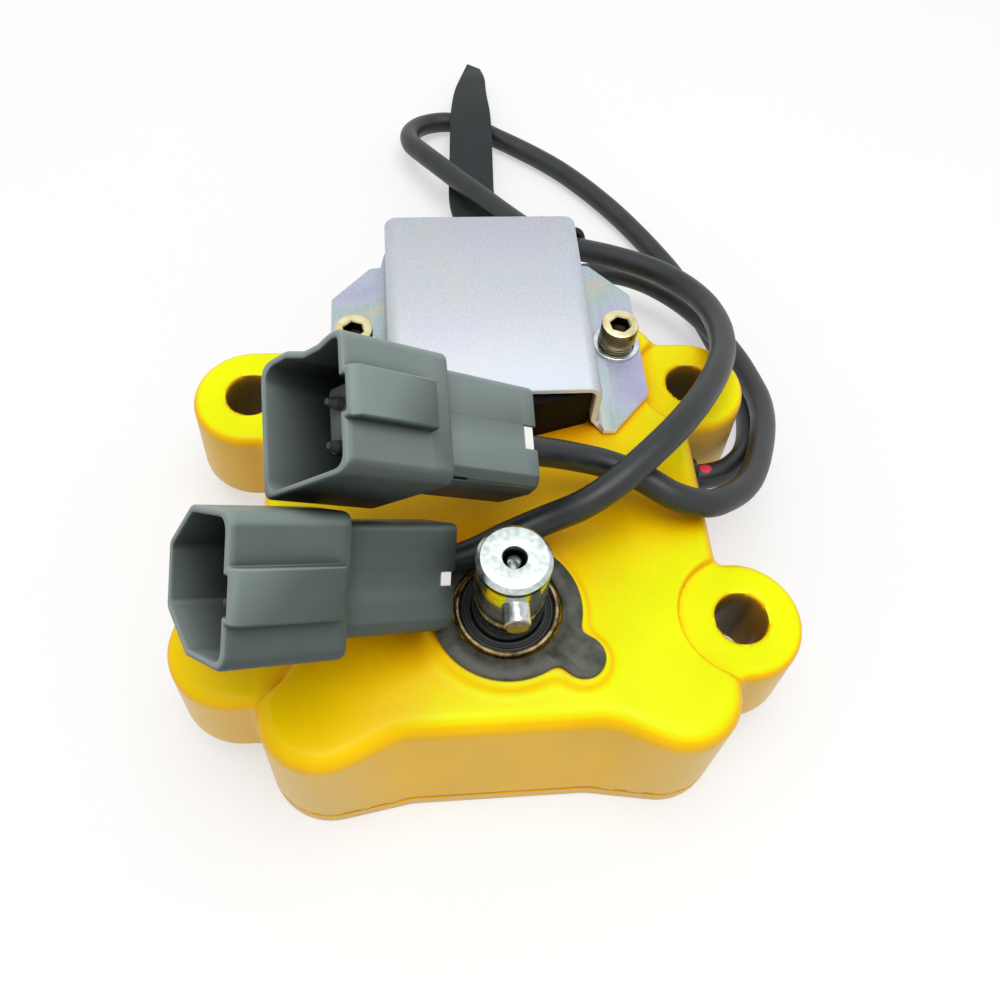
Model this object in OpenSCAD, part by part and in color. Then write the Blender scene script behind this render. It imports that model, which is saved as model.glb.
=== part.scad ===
// Engine governor actuator: a cast housing with four mounting ears, a motor-driven output shaft,
// a folded cable guard and two leads that end in four-way connectors.
// Millimetres, +Z up. The origin is on the output shaft's axis, in the plane of the base.

/* [Housing] */
// Height of the housing's top face above the base
body_h = 34; // [30:0.5:40]
// Radius of the rounded top edge
top_fillet = 3.5; // [2:0.5:4.5]
// Distance between the mounting holes, side to side
ear_pitch_x = 101; // [98:0.5:104]
// Distance between the mounting holes, front to back
ear_pitch_y = 60; // [58:0.5:62]
// Middle of the mounting holes from the shaft axis, side to side
ear_mid_x = -2.5; // [-3.5:0.5:-1.5]
// Middle of the mounting holes from the shaft axis, front to back
ear_mid_y = 27.5; // [26.5:0.5:28.5]
// Radius of a mounting ear
ear_r = 12.8; // [12:0.1:13.5]
// Diameter of a mounting hole
ear_hole_d = 11; // [9:0.5:12]
// Thickness of a mounting ear
ear_t = 21; // [16:0.5:24]
// Depth of an ear's face below the top face
ear_drop = 2; // [1:0.25:3]
// Thickness of the roof over the mechanism
roof_t = 5; // [4:0.5:7]
// Radius of the two front lobes
lobe_r = 12; // [11:0.25:13]
// Height of the pad round the shaft
pad_h = 1.5; // [0.5:0.25:2.5]

/* [Base cover] */
// Thickness of the base cover
cover_t = 3.5; // [3:0.25:4.5]
// Thickness of the gasket on the cover
gasket_t = 0.5; // [0.4:0.1:1]
// Thread diameter of the cover screws
cover_screw_d = 5; // [4:0.5:6]

/* [Output shaft] */
// Diameter of the output shaft
shaft_d = 14; // [13:0.25:15]
// Height of the shaft's end above the top face
shaft_stand = 23.5; // [21:0.5:27]
// Diameter of the cross pin
pin_d = 5; // [4:0.25:5.5]
// Length of the cross pin outside the shaft
pin_out = 4.2; // [3:0.1:5]
// Depth of the cross pin's axis below the shaft's end
pin_drop = 6; // [5:0.25:7]
// Wall of the shaft bushes
bush_wall = 2; // [1.5:0.1:2.2]
// Wall of the seal's metal case
seal_wall = 1.2; // [1:0.1:1.4]
// Thickness of the retainer plate
plate_t = 1.2; // [0.8:0.1:2]
// Radius of the retainer plate
plate_r = 14.9; // [14:0.1:15.5]

/* [Gear train] */
// Tooth size, as pitch diameter over tooth count
gear_module = 1; // [0.95:0.01:1.02]
// Teeth on the full circle of the sector gear
sector_teeth = 70; // [70:14:70]
// Teeth on the motor pinion
pinion_teeth = 14; // [14:2:14]
// Width of the gear teeth
face_w = 4.5; // [3:0.5:5]
// Radius of the motor's case
motor_r = 20; // [17:0.5:20.5]
// Height of the motor's case
motor_h = 9; // [8:0.5:10]

/* [Cable guard] */
// Width of the guard's raised channel
guard_w = 45.6; // [42:0.2:48]
// Length of the guard
guard_l = 52; // [48:0.5:56]
// Height of the guard's top above the housing
guard_h = 13.8; // [12:0.2:16]
// Sheet thickness of the guard
sheet_t = 1.6; // [1.2:0.1:2]
// Distance of a guard screw from the channel's side
screw_out = 7.4; // [7:0.1:8]
// Thread diameter of the guard's screws
guard_screw_d = 5; // [4:0.5:5]

/* [Connectors] */
// Width of a connector's shroud
shroud_w = 24; // [22:0.5:26]
// Height of a connector's shroud
shroud_h = 22; // [20.5:0.5:23.5]
// Length of a connector's shroud
shroud_l = 22; // [20.5:0.5:24]
// Length of a connector
conn_l = 46.5; // [44:0.5:50]
// Wall of a connector
conn_wall = 1.6; // [1.2:0.1:2]
// Diameter of the leads
cable_d = 6; // [5:0.25:6.25]

/* [Hidden] */
$fn = 64;

// Finishes
paint = "#f2c200";
zinc = "#c9ccd0";
gold_zinc = "#b8a25a";
dark_steel = "#4a4a48";
bright_steel = "#d6d8da";
bronze = "#a9803f";
black_rubber = "#1d1f21";
grey_plastic = "#6d7573";
white_plastic = "#f0f0ec";

// Clearances: loose round a fixed piece, free round a turning one, and overlap for clean cuts
loose = 0.1;
free = 0.05;
cut = 1;

// Housing outline as circles that a tight belt would run round, anticlockwise:
// centre, radius (negative where the outline is hollow), and steps along its arc
wall_draft = 1;
function belt_top() = [
  [33, -17, lobe_r, 16], [36, 50, 9, 6], [guard_x + guard_pitch / 2, guard_screw_y, 10.5, 12],
  [guard_x - guard_pitch / 2, guard_screw_y, 10.5, 12], [-40, 50, 9, 6], [-36, -17, lobe_r, 16],
  [-19, -33, -10, 8], [16, -33, -10, 8]];
// The hollow between the front lobes is shallower at the base
hollow_slope = 4.5;
function belt_base() = [for (c = belt_top())
  c[2] < 0 ? [c[0], c[1] - hollow_slope, c[2], c[3]] : [c[0], c[1], c[2] + wall_draft, c[3]]];
function belt_mix(t) = let (a = belt_base(), b = belt_top())
  [for (i = [0 : len(a) - 1]) a[i] + (b[i] - a[i]) * t];

// Mechanism cavity, drawn the same way
gear_distance = gear_module * (sector_teeth + pinion_teeth) / 2;
motor_y = gear_distance;
corner_r = 5;
cavity_back = motor_y + motor_r + 0.3 - corner_r;
cavity = [for (p = [[24, -11], [33, 4], [33, 44], [motor_r, cavity_back], [-motor_r, cavity_back],
  [-37, 44], [-37, 4], [-27, -11]]) [p[0], p[1], corner_r, 4]];

// Direction of the outward normal where the belt runs from one circle to the next
function belt_normal(a, b) = let (d = [b[0] - a[0], b[1] - a[1]])
  atan2(d[1], d[0]) - acos((a[2] - b[2]) / norm(d));
function turn(angle) = angle - 360 * floor(angle / 360);
// Points of the belt, moved inwards by inset
function belt(circles, inset) = let (n = len(circles)) [
  for (i = [0 : n - 1])
    let (c = circles[i],
         from = belt_normal(circles[(i + n - 1) % n], c),
         to = belt_normal(c, circles[(i + 1) % n]),
         sweep = c[2] > 0 ? turn(to - from) : -turn(from - to))
      for (k = [0 : c[3]])
        let (a = from + sweep * k / c[3])
          [c[0] + (c[2] - inset) * cos(a), c[1] + (c[2] - inset) * sin(a)]];
function lift(points, z) = [for (p = points) [p[0], p[1], z]];

// Levels
case_z = cover_t + gasket_t;
roof_z = body_h - roof_t;
ear_top = body_h - ear_drop;
pad_z = body_h + pad_h;
plate_z = pad_z + plate_t;
shaft_top = body_h + shaft_stand;
shaft_r = shaft_d / 2;

// Shaft stack, from the top down
bush_r = shaft_r + free + bush_wall;
seal_r = bush_r + 1.35;
seal_floor = body_h - 4.5;
bush_l = 4.8;
hub_r = bush_r + 4;
hub_bottom = 15.5;
washer_t = 0.8;
gear_top = hub_bottom - washer_t - 2 * loose;
gear_bottom = gear_top - face_w;
seat_r = 5;
circlip_t = 1;
shaft_bottom = gear_bottom - circlip_t - 0.8;
shaft_chamfer = 1;
sensor_r = 12;
sensor_top = shaft_bottom - 1;
key_w = 3;
key_h = 2;

// Motor
motor_floor = roof_z - motor_h;
motor_shaft_r = 2.5;
motor_bore = 11;
motor_wall = 1.5;
pinion_bottom = gear_bottom - 0.3;
pinion_top = motor_floor - 0.4;

// Cable guard
guard_x = 0.8;
guard_pitch = guard_w + 2 * screw_out;
guard_front = 44.3;
guard_screw_y = 66.5;
flange_w = 13;
flange_front = 42;
flange_l = 50;
flange_cut = 10;
bend_r = 3;
spring_t = 1.3;
flat_t = 1;
guard_screws_at = [for (s = [-1, 1]) [guard_x + s * guard_pitch / 2, guard_screw_y]];
cover_screws_at = concat([for (c = belt_top()) if (c[2] == lobe_r) [c[0], c[1]]], guard_screws_at);
ears_at = [for (sx = [-1, 1], sy = [-1, 1])
  [ear_mid_x + sx * ear_pitch_x / 2, ear_mid_y + sy * ear_pitch_y / 2, sx]];

// Cable entries: the motor lead leaves the right wall, the sensor lead the rear one
side_entry = [45, 38.3, 21];
rear_entry = [-20, 77, 16];
entry_depth = 6;

// Connector places: middle of the mouth and the turn about X, Y and Z
upper_mouth = [-35, 15, 80.7];
upper_turn = [25.3, 36.2, 17.1];
lower_mouth = [-53, -6.7, 66.4];
lower_turn = [39.7, 31.1, 17.4];
// Slants across a shroud's lower corners: how far in and how far up
upper_foot = [1.4, 2.2];
lower_foot = [6.4, 8.2];
// The lower lead enters its seal off the middle
lower_lead_side = 2.5;
rear_w = 20.4;
rear_h = 13.8;
rear_rise = 1.5;
seal_inset = 0.5;
shroud_deep = 18;
latch_w = 8;
latch_rise = 2;

// Routes of the leads, from the housing round to the connector
motor_route = concat([side_entry, [50.5, 38.3, 21], [56, 39.9, 20.6], [61, 44.1, 18.9],
  [64.7, 49.9, 16], [67.6, 57.1, 12.7], [69.6, 64.8, 9.8], [70.5, 72.8, 7.3], [70.4, 81, 5.3],
  [69.3, 89.3, 4], [67.7, 97.6, 3.3], [65.6, 105.7, 3.2], [63.1, 113.8, 3.2], [60.1, 121.7, 3.2],
  [56.5, 129.3, 3.2], [52.5, 136.8, 3.2], [48.2, 144.1, 3.2], [43.5, 151.1, 3.2], [38.4, 157.8, 3.2],
  [32.9, 164.2, 3.2], [26.8, 170, 3.2], [20.2, 175.4, 3.2], [13.5, 180.4, 3.2], [6.7, 185.4, 3.2],
  [-1.3, 187.9, 3.5], [-9.2, 185.4, 4.5], [-13.9, 178.9, 6.5], [-14, 170.9, 8.9], [-10.3, 163.6, 10.7],
  [-5.6, 156.7, 11.8], [-0.5, 149.9, 12.4], [4.6, 143.3, 13.1], [9.5, 136.4, 14], [14.1, 129.5, 15.4],
  [18.6, 122.6, 17.3], [23.7, 116.4, 19.9], [29.4, 110.8, 22.6], [35.7, 105.8, 25.2], [42.4, 101, 27],
  [48.8, 95.7, 28.3], [53.7, 89, 30], [56.3, 81.4, 32.4], [56.8, 73.5, 35.2], [55.7, 65.7, 38.4],
  [53.5, 58.2, 41.5], [50.1, 51, 44.3], [45.9, 44.1, 46.7], [41.1, 37.5, 48.9], [35.7, 31.2, 50.3],
  [29.6, 25.4, 50.6], [23, 20.1, 49.7], [15.9, 16.5, 47.2], [8.3, 15.1, 43.8], [0.5, 12.9, 41.6],
  [-5.3, 10.2, 41.2]],
  [for (run = [4.5, 0]) lead_end(lower_mouth, lower_turn, lower_lead_side, run)]);
sensor_route = concat([rear_entry, [-20, 82.5, 16], [-20.8, 88, 16.2], [-22.1, 92.8, 16.3],
  [-22.3, 100.7, 16.2], [-19.7, 108.2, 15.9], [-13.8, 113.3, 15.4], [-6, 114.5, 14.9],
  [1.8, 113.4, 14.5], [9.5, 111.4, 14.1], [17.3, 109.9, 13.7], [25.3, 109.8, 13.2], [33, 111.4, 12.5],
  [40.9, 112.4, 11.7], [48.4, 110.2, 11], [55, 105.8, 10.6], [60.4, 99.9, 10.7], [64.3, 93.1, 11.4],
  [67, 85.7, 12.5], [68.8, 78.1, 14.1], [69.7, 70.4, 15.9], [69.8, 62.8, 18.2], [68.5, 55.4, 20.8],
  [66.1, 48.4, 23.6], [63.1, 41.6, 26.5], [59.7, 35, 29.4], [55.5, 28.9, 32.4], [50, 24, 35.5],
  [43.5, 20.7, 38.5], [36.2, 21.2, 41.1], [29.4, 25.1, 42.7], [22.1, 28, 43.8], [16.4, 28.7, 45.3],
  [11.3, 28.2, 47.8]],
  [for (run = [6, 0]) lead_end(upper_mouth, upper_turn, 0, run)]);
cable_sides = 10;

// Nylon tie: its loop round the motor lead, and the tail's middle line, half width and slant
tie_at = [23.7, 116.5, 19.9];
tie_gap = 0.85;
tie_w = 13;
tie_t = 1.6;
tie_rise = 18.3;
tie_heading = 42.5;
tie_tail = [[22.5, 118, 13.2, 5, 0], [17.5, 123, 10.4, 6, 0], [10.5, 129, 8.4, 6.6, 0],
  [4.6, 136, 7.4, 6.8, 0], [3, 146, 6.9, 6.8, 0], [3.8, 160, 6.8, 6.7, 0], [4.6, 174, 7, 6.6, 0],
  [5.2, 186, 7.1, 6.4, 0], [5.8, 198, 6, 5.2, 0.4], [7.6, 208, 4.6, 3.8, 0.8],
  [8.2, 215.8, 2.8, 2.1, 1.3]];

// Turn about X, then Y, then Z
function turned_point(p, a) = let (
    x = [p[0], p[1] * cos(a[0]) - p[2] * sin(a[0]), p[1] * sin(a[0]) + p[2] * cos(a[0])],
    y = [x[0] * cos(a[1]) + x[2] * sin(a[1]), x[1], x[2] * cos(a[1]) - x[0] * sin(a[1])])
  [y[0] * cos(a[2]) - y[1] * sin(a[2]), y[0] * sin(a[2]) + y[1] * cos(a[2]), y[2]];
// Point on a lead before the face of its connector's seal, a distance to the side of its middle
function lead_end(mouth, turned, side, run) = mouth
  + turned_point([conn_l - seal_inset + run, side, rear_rise], turned);

// Closed solid through a stack of rings with equal point counts
module loft(rings) {
  n = len(rings[0]);
  last = len(rings) - 1;
  sides = [for (r = [0 : last - 1], i = [0 : n - 1])
    let (j = (i + 1) % n) [r * n + i, (r + 1) * n + i, (r + 1) * n + j, r * n + j]];
  bottom = [[for (i = [0 : n - 1]) i]];
  top = [[for (i = [n - 1 : -1 : 0]) last * n + i]];
  polyhedron([for (r = rings, p = r) p], concat(bottom, sides, top), convexity = 6);
}

// Quarter round in steps, from the outside in: how far in and how far up
function quarter(r, steps) = [for (k = [0 : steps]) let (a = 90 * k / steps) r * [1 - cos(a), sin(a)]];

module at_each(places) {
  for (p = places) translate([p[0], p[1], 0]) children();
}

// Housing

module casting() {
  edge = quarter(top_fillet, 5);
  edge_z = body_h - top_fillet;
  loft(concat(
    [lift(belt(belt_mix(0), 0), case_z)],
    [for (e = edge)
      let (z = edge_z + e[1])
        lift(belt(belt_mix((z - case_z) / (body_h - case_z)), e[0]), z)]));
}

module ear_profile() {
  ear_round = 2.5;
  floor_z = ear_top - ear_t;
  polygon(concat(
    [[0, floor_z], [ear_r + wall_draft, floor_z]],
    [for (e = quarter(ear_round, 4)) [ear_r - e[0], ear_top - ear_round + e[1]]],
    [[0, ear_top]]));
}

module ear(side) {
  reach = 14;
  rotate_extrude() ear_profile();
  rotate([90, 0, -side * 90]) linear_extrude(reach) {
    ear_profile();
    mirror([1, 0]) ear_profile();
  }
}

module housing() {
  color(paint) difference() {
    union() {
      difference() {
        casting();
        for (e = ears_at) translate([e[0], e[1], ear_top]) cylinder(r = ear_r + 0.4, h = ear_drop + cut);
      }
      translate([0, 0, roof_z]) cylinder(r = plate_r + 1.2, h = pad_z - roof_z);
      translate([plate_lug[0], plate_lug[1], roof_z]) cylinder(r = plate_lug_r + 1.2, h = pad_z - roof_z);
    }
    difference() {
      translate([0, 0, case_z - cut]) linear_extrude(roof_z - case_z + cut) polygon(belt(cavity, 0));
      translate([0, 0, hub_bottom]) cylinder(r = hub_r, h = body_h);
    }
    translate([0, 0, hub_bottom - cut]) cylinder(r = bush_r, h = body_h);
    translate([0, 0, seal_floor]) cylinder(r = seal_r, h = body_h);
    for (e = ears_at) ear_zone(e);
    bolt_holes();
    at_each(guard_screws_at) translate([0, 0, body_h - guard_hole_l])
      cylinder(d = guard_screw_d + 2 * loose, h = guard_hole_l + cut);
    at_each(cover_screws_at) translate([0, 0, case_z - cut])
      cylinder(d = cover_screw_d + 2 * loose, h = cover_hole_l + cut);
    entry_hole(side_entry, [0, 90, 0]);
    entry_hole(rear_entry, [-90, 0, 0]);
  }
}
guard_hole_l = 12;
cover_hole_l = 12;

// Block of the casting that carries one mounting hole; the rest of the casting lies inside of it
module ear_zone(e) {
  reach = ear_hole_d / 2 + ear_root;
  wide = ear_r + wall_draft;
  translate([e[0] - (e[2] > 0 ? reach : wide), e[1] - wide, ear_top - ear_t])
    cube([reach + wide, 2 * wide, ear_t]);
}
ear_root = 1.2;

module bolt_holes() {
  at_each(ears_at) translate([0, 0, -cut]) cylinder(d = ear_hole_d, h = body_h + 2 * cut);
}

module mounting_ears() {
  color(paint) difference() {
    for (e = ears_at) intersection() {
      union() {
        casting();
        translate([e[0], e[1], 0]) ear(e[2]);
      }
      ear_zone(e);
    }
    bolt_holes();
  }
}
grommet_r = cable_d / 2 + 1.8;
plate_lug = [13.9, -10.9];
plate_lug_r = 4.3;

// Round hole from an entry on the outside wall inwards to the cavity
module entry_hole(at, turned) {
  translate(at) rotate(turned) translate([0, 0, -entry_run])
    cylinder(r = grommet_r, h = entry_run + 4 * cut);
}
entry_run = 22;

module base_cover() {
  color(paint) difference() {
    linear_extrude(cover_t) polygon(belt(belt_base(), 0));
    bolt_holes();
    at_each(cover_screws_at) {
      translate([0, 0, -cut]) cylinder(d = cover_screw_d + 2 * loose, h = cover_t + 2 * cut);
      cylinder(d1 = screw_head_d + 2 * loose, d2 = cover_screw_d + 2 * loose, h = screw_head_h);
    }
  }
}
screw_head_d = 1.9 * cover_screw_d;
screw_head_h = 0.5 * cover_screw_d;

module cover_gasket() {
  color(black_rubber) translate([0, 0, cover_t]) difference() {
    linear_extrude(gasket_t) polygon(belt(belt_base(), 0.4));
    translate([0, 0, -cut]) linear_extrude(gasket_t + 2 * cut) polygon(belt(cavity, 0));
    bolt_holes();
    at_each(cover_screws_at) translate([0, 0, -cut])
      cylinder(d = cover_screw_d + 2 * loose, h = gasket_t + 2 * cut);
  }
}

module cover_screws() {
  color(dark_steel) at_each(cover_screws_at) difference() {
    union() {
      cylinder(d1 = screw_head_d, d2 = cover_screw_d, h = screw_head_h);
      cylinder(d = cover_screw_d, h = case_z + cover_hole_l - 2);
    }
    translate([0, 0, -cut]) cylinder(d = 0.65 * cover_screw_d, h = cut + 0.3 * cover_screw_d, $fn = 6);
  }
}

// Output shaft

module output_shaft() {
  journal_bottom = gear_top;
  color(bright_steel) difference() {
    union() {
      translate([0, 0, journal_bottom])
        cylinder(r = shaft_r, h = shaft_top - shaft_chamfer - journal_bottom);
      translate([0, 0, shaft_top - shaft_chamfer])
        cylinder(r1 = shaft_r, r2 = shaft_r - shaft_chamfer, h = shaft_chamfer);
      translate([0, 0, shaft_bottom]) cylinder(r = seat_r, h = gear_top - shaft_bottom);
    }
    // Centre hole: a short drilling under a wide countersink
    translate([0, 0, shaft_top - 5]) cylinder(d = 2.4, h = 5 + cut);
    translate([0, 0, shaft_top - 2.2]) cylinder(d1 = 2.4, d2 = 4.4, h = 2.2);
    translate([0, 0, shaft_top - cut / 100]) cylinder(d = 4.4, h = cut);
    // Blind cross hole, keyway, circlip groove and the sensor's slot
    translate([0, -shaft_r - cut, shaft_top - pin_drop]) rotate([-90, 0, 0])
      cylinder(d = pin_d, h = shaft_d - 1 + cut);
    translate([seat_r - key_h / 2, -key_w / 2, gear_bottom - cut])
      cube([key_h, key_w, gear_top - gear_bottom + cut]);
    translate([0, 0, gear_bottom - circlip_t]) difference() {
      cylinder(r = seat_r + cut, h = circlip_t);
      cylinder(r = seat_r - 0.6, h = circlip_t);
    }
    translate([-1 - loose, -seat_r - cut, shaft_bottom - cut])
      cube([2 + 2 * loose, 2 * (seat_r + cut), cut + 1.5]);
  }
}

module cross_pin() {
  chamfer = 0.5;
  length = pin_out + shaft_d - 1;
  color(bright_steel) translate([0, -shaft_r - pin_out, shaft_top - pin_drop]) rotate([-90, 0, 0]) {
    cylinder(d1 = pin_d - 2 * chamfer, d2 = pin_d, h = chamfer);
    translate([0, 0, chamfer]) cylinder(d = pin_d, h = length - chamfer);
  }
}

module ring(inner, outer, low, high) {
  translate([0, 0, low]) difference() {
    cylinder(r = outer, h = high - low);
    translate([0, 0, -cut]) cylinder(r = inner, h = high - low + 2 * cut);
  }
}

module upper_bush() {
  color(bronze) ring(shaft_r + free, bush_r, seal_floor - bush_l, seal_floor - loose);
}

module lower_bush() {
  color(bronze) ring(shaft_r + free, bush_r, hub_bottom, hub_bottom + bush_l);
}

module seal_case() {
  color(bronze) {
    ring(seal_r - seal_wall, seal_r, seal_floor, plate_z + 0.4);
    ring(shaft_r + 1, seal_r - seal_wall, seal_floor, seal_floor + 0.8);
  }
}

module seal_lip() {
  low = seal_floor + 0.8;
  high = plate_z;
  outer = seal_r - seal_wall;
  lip = shaft_r + free;
  color(black_rubber) rotate_extrude()
    polygon([[outer, low], [outer, high], [lip + 0.6, high], [lip, high - 0.6], [lip, high - 1.6],
      [lip + 1, high - 2.4], [lip + 1, low + 1.5], [lip + 0.2, low + 1], [lip + 0.2, low]]);
}

module retainer_plate() {
  hole_r = seal_r + 0.4;
  color(dark_steel) translate([0, 0, pad_z]) difference() {
    union() {
      cylinder(r = plate_r, h = plate_t);
      linear_extrude(plate_t)
        polygon(belt([[0, 0, 10, 8], [plate_lug[0], plate_lug[1], plate_lug_r, 8]], 0));
    }
    translate([0, 0, -cut]) cylinder(r = hole_r, h = plate_t + 2 * cut);
  }
}

module thrust_washer() {
  color(bronze) ring(shaft_r + loose, hub_r - 1, gear_top + loose, hub_bottom - loose);
}

module shaft_circlip() {
  color(dark_steel) translate([0, 0, gear_bottom - circlip_t]) difference() {
    cylinder(r = seat_r + 1.6, h = circlip_t);
    translate([0, 0, -cut]) cylinder(r = seat_r - 0.6, h = circlip_t + 2 * cut);
    translate([0, -1.2, -cut]) cube([2 * seat_r, 2.4, circlip_t + 2 * cut]);
  }
}

// Gears

pressure_angle = 25;
backlash = 0.12;
flank_steps = 4;
function involute_angle(base, r) = let (a = acos(min(1, base / r))) tan(a) * 180 / PI - a;
// Points of one tooth, centred on the angle given: root, flank, tip, flank, root
function tooth(teeth, middle) = let (
    pitch_r = gear_module * teeth / 2,
    base = pitch_r * cos(pressure_angle),
    root = pitch_r - 1.25 * gear_module,
    tip = pitch_r + gear_module,
    low = max(base, root + 0.05),
    half = 90 / teeth - backlash / 2 / pitch_r * 180 / PI + involute_angle(base, pitch_r),
    radii = [for (k = [0 : flank_steps]) low + (tip - low) * k / flank_steps],
    angles = [for (r = radii) half - involute_angle(base, r)])
  concat(
    [root * [cos(middle - angles[0]), sin(middle - angles[0])]],
    [for (k = [0 : flank_steps]) radii[k] * [cos(middle - angles[k]), sin(middle - angles[k])]],
    [for (k = [flank_steps : -1 : 0]) radii[k] * [cos(middle + angles[k]), sin(middle + angles[k])]],
    [root * [cos(middle + angles[0]), sin(middle + angles[0])]]);

// Teeth each side of the middle tooth, enough for the whole travel
sector_half = 8;

module sector_gear() {
  hub = 9;
  pitch = 360 / sector_teeth;
  rim_r = gear_module * sector_teeth / 2 - 1.25 * gear_module;
  color(dark_steel) translate([0, 0, gear_bottom]) difference() {
    union() {
      cylinder(r = hub, h = face_w);
      linear_extrude(face_w) polygon(concat(
        [[0, 0]],
        [for (k = [-sector_half : sector_half]) each tooth(sector_teeth, 90 + k * pitch)]));
    }
    translate([0, 0, -cut]) cylinder(r = seat_r, h = face_w + 2 * cut);
    translate([seat_r - key_h / 2, -key_w / 2, -cut]) cube([key_h, key_w, face_w + 2 * cut]);
    // Window that lightens the web
    translate([0, (hub + rim_r) / 2, -cut]) cylinder(d = 0.5 * (rim_r - hub), h = face_w + 2 * cut);
  }
}

module gear_key() {
  color(bright_steel) translate([seat_r - key_h / 2, -key_w / 2, gear_bottom]) cube([key_h, key_w, face_w]);
}

module motor_pinion() {
  pitch = 360 / pinion_teeth;
  color(bronze) translate([0, motor_y, pinion_bottom]) difference() {
    linear_extrude(pinion_top - pinion_bottom) polygon(
      [for (k = [0 : pinion_teeth - 1]) each tooth(pinion_teeth, 90 + (k + 0.5) * pitch)]);
    translate([0, 0, -cut]) cylinder(r = motor_shaft_r, h = pinion_top - pinion_bottom + 2 * cut);
  }
}

// Motor and position sensor

module motor_can() {
  hole = motor_shaft_r + free;
  color(zinc) translate([0, motor_y, 0]) {
    ring(motor_r - motor_wall, motor_r, motor_floor, roof_z);
    ring(hole, motor_r - motor_wall, motor_floor, motor_floor + motor_wall);
    ring(hole, motor_r - motor_wall, roof_z - motor_wall, roof_z);
  }
}

module motor_stator() {
  teeth = 8;
  slot_w = 1.4;
  slot_deep = 3;
  color(bronze) translate([0, motor_y, 0]) difference() {
    ring(motor_bore, motor_r - motor_wall - loose, motor_floor + motor_wall, roof_z - motor_wall);
    for (k = [0 : teeth - 1]) rotate(k * 360 / teeth)
      translate([motor_bore - cut, -slot_w / 2, motor_floor]) cube([slot_deep + cut, slot_w, motor_h]);
  }
}

module motor_rotor() {
  gap = 0.4;
  color(dark_steel) translate([0, motor_y, 0]) {
    translate([0, 0, pinion_bottom]) cylinder(r = motor_shaft_r, h = roof_z - loose - pinion_bottom);
    ring(motor_shaft_r, motor_bore - gap, motor_floor + motor_wall + gap, roof_z - motor_wall - gap);
  }
}

module sensor_body() {
  well = 3.2;
  color(black_rubber) translate([0, 0, cover_t]) difference() {
    cylinder(r = sensor_r, h = sensor_top - cover_t);
    translate([0, 0, 1.2]) cylinder(r = well, h = sensor_top);
  }
}

module sensor_wiper() {
  color(bronze) {
    translate([0, 0, cover_t + 1.2 + loose]) cylinder(r = 2.9, h = shaft_bottom - cover_t - 1.2 - loose);
    translate([-1, -2.5, shaft_bottom]) cube([2, 5, 1.2]);
  }
}

// Cable guard

// Section of one side of the folded sheet, from the middle of the top to the flange's edge
function guard_line(outer) = let (
    t = outer ? 0 : sheet_t,
    half = guard_w / 2 - t,
    ro = bend_r - t,
    ri = bend_r - sheet_t + t,
    foot = outer ? sheet_t : 0)
  concat(
    [[0, guard_h - t]],
    [for (k = [0 : 5]) let (a = 90 - 18 * k)
      [half - ro, guard_h - t - ro] + ro * [cos(a), sin(a)]],
    [for (k = [0 : 5]) let (a = 180 + 18 * k)
      [half + ri, foot + ri] + ri * [cos(a), sin(a)]],
    [[guard_w / 2 + flange_w, foot]]);

module guard_half() {
  polygon(concat(guard_line(true), reverse(guard_line(false))));
}
function reverse(v) = [for (i = [len(v) - 1 : -1 : 0]) v[i]];

module cable_guard() {
  wide = guard_w / 2 + flange_w;
  flange_back = flange_front + flange_l;
  color(zinc) translate([guard_x, 0, body_h]) difference() {
    union() {
      intersection() {
        guard_sheet(guard_front, guard_front + guard_l);
        translate([-guard_w / 2, 0, -cut]) cube([guard_w, 200, guard_h + 2 * cut]);
      }
      difference() {
        guard_sheet(flange_front, flange_back);
        translate([-guard_w / 2, 0, -cut]) cube([guard_w, 200, guard_h + 2 * cut]);
        for (s = [-1, 1]) flange_corners(s, wide, flange_back);
      }
    }
    for (s = [-1, 1]) translate([s * guard_pitch / 2, guard_screw_y, -cut])
      cylinder(d = guard_screw_d + 0.5, h = sheet_t + 2 * cut);
  }
}

module guard_sheet(front, back) {
  translate([0, back, 0]) rotate([90, 0, 0]) linear_extrude(back - front) {
    guard_half();
    mirror([1, 0]) guard_half();
  }
}

// Slanting cuts across the two corners of a flange
module flange_corners(side, wide, back) {
  translate([0, 0, -cut]) linear_extrude(sheet_t + 2 * cut) {
    polygon([[side * (wide - flange_cut), flange_front - cut], [side * (wide + cut), flange_front - cut],
      [side * (wide + cut), flange_front + flange_cut + cut]]);
    polygon([[side * (wide - flange_cut), back + cut], [side * (wide + cut), back + cut],
      [side * (wide + cut), back - flange_cut - cut]]);
  }
}

module guard_screws() {
  seat = body_h + sheet_t + flat_t + spring_t;
  head_d = 1.7 * guard_screw_d;
  color(gold_zinc) at_each(guard_screws_at) difference() {
    union() {
      translate([0, 0, body_h - guard_hole_l + 1])
        cylinder(d = guard_screw_d, h = seat - body_h + guard_hole_l);
      translate([0, 0, seat]) cylinder(d = head_d, h = guard_screw_d - 0.4);
      translate([0, 0, seat + guard_screw_d - 0.4]) cylinder(d1 = head_d, d2 = head_d - 0.8, h = 0.4);
    }
    translate([0, 0, seat + 0.45 * guard_screw_d])
      cylinder(d = 0.8 * guard_screw_d / cos(30), h = guard_screw_d, $fn = 6);
  }
}

module spring_washers() {
  low = body_h + sheet_t + flat_t;
  color(gold_zinc) at_each(guard_screws_at) difference() {
    ring(guard_screw_d / 2 + loose, 0.85 * guard_screw_d, low, low + spring_t);
    rotate(-35) translate([0, 0, low + spring_t / 2]) rotate([25, 0, 0])
      translate([0, -0.4, -2 * spring_t]) cube([guard_screw_d, 0.8, 4 * spring_t]);
  }
}

module flat_washers() {
  low = body_h + sheet_t;
  color(bright_steel) at_each(guard_screws_at)
    ring(guard_screw_d / 2 + 0.2, 1.1 * guard_screw_d, low, low + flat_t);
}

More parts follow.
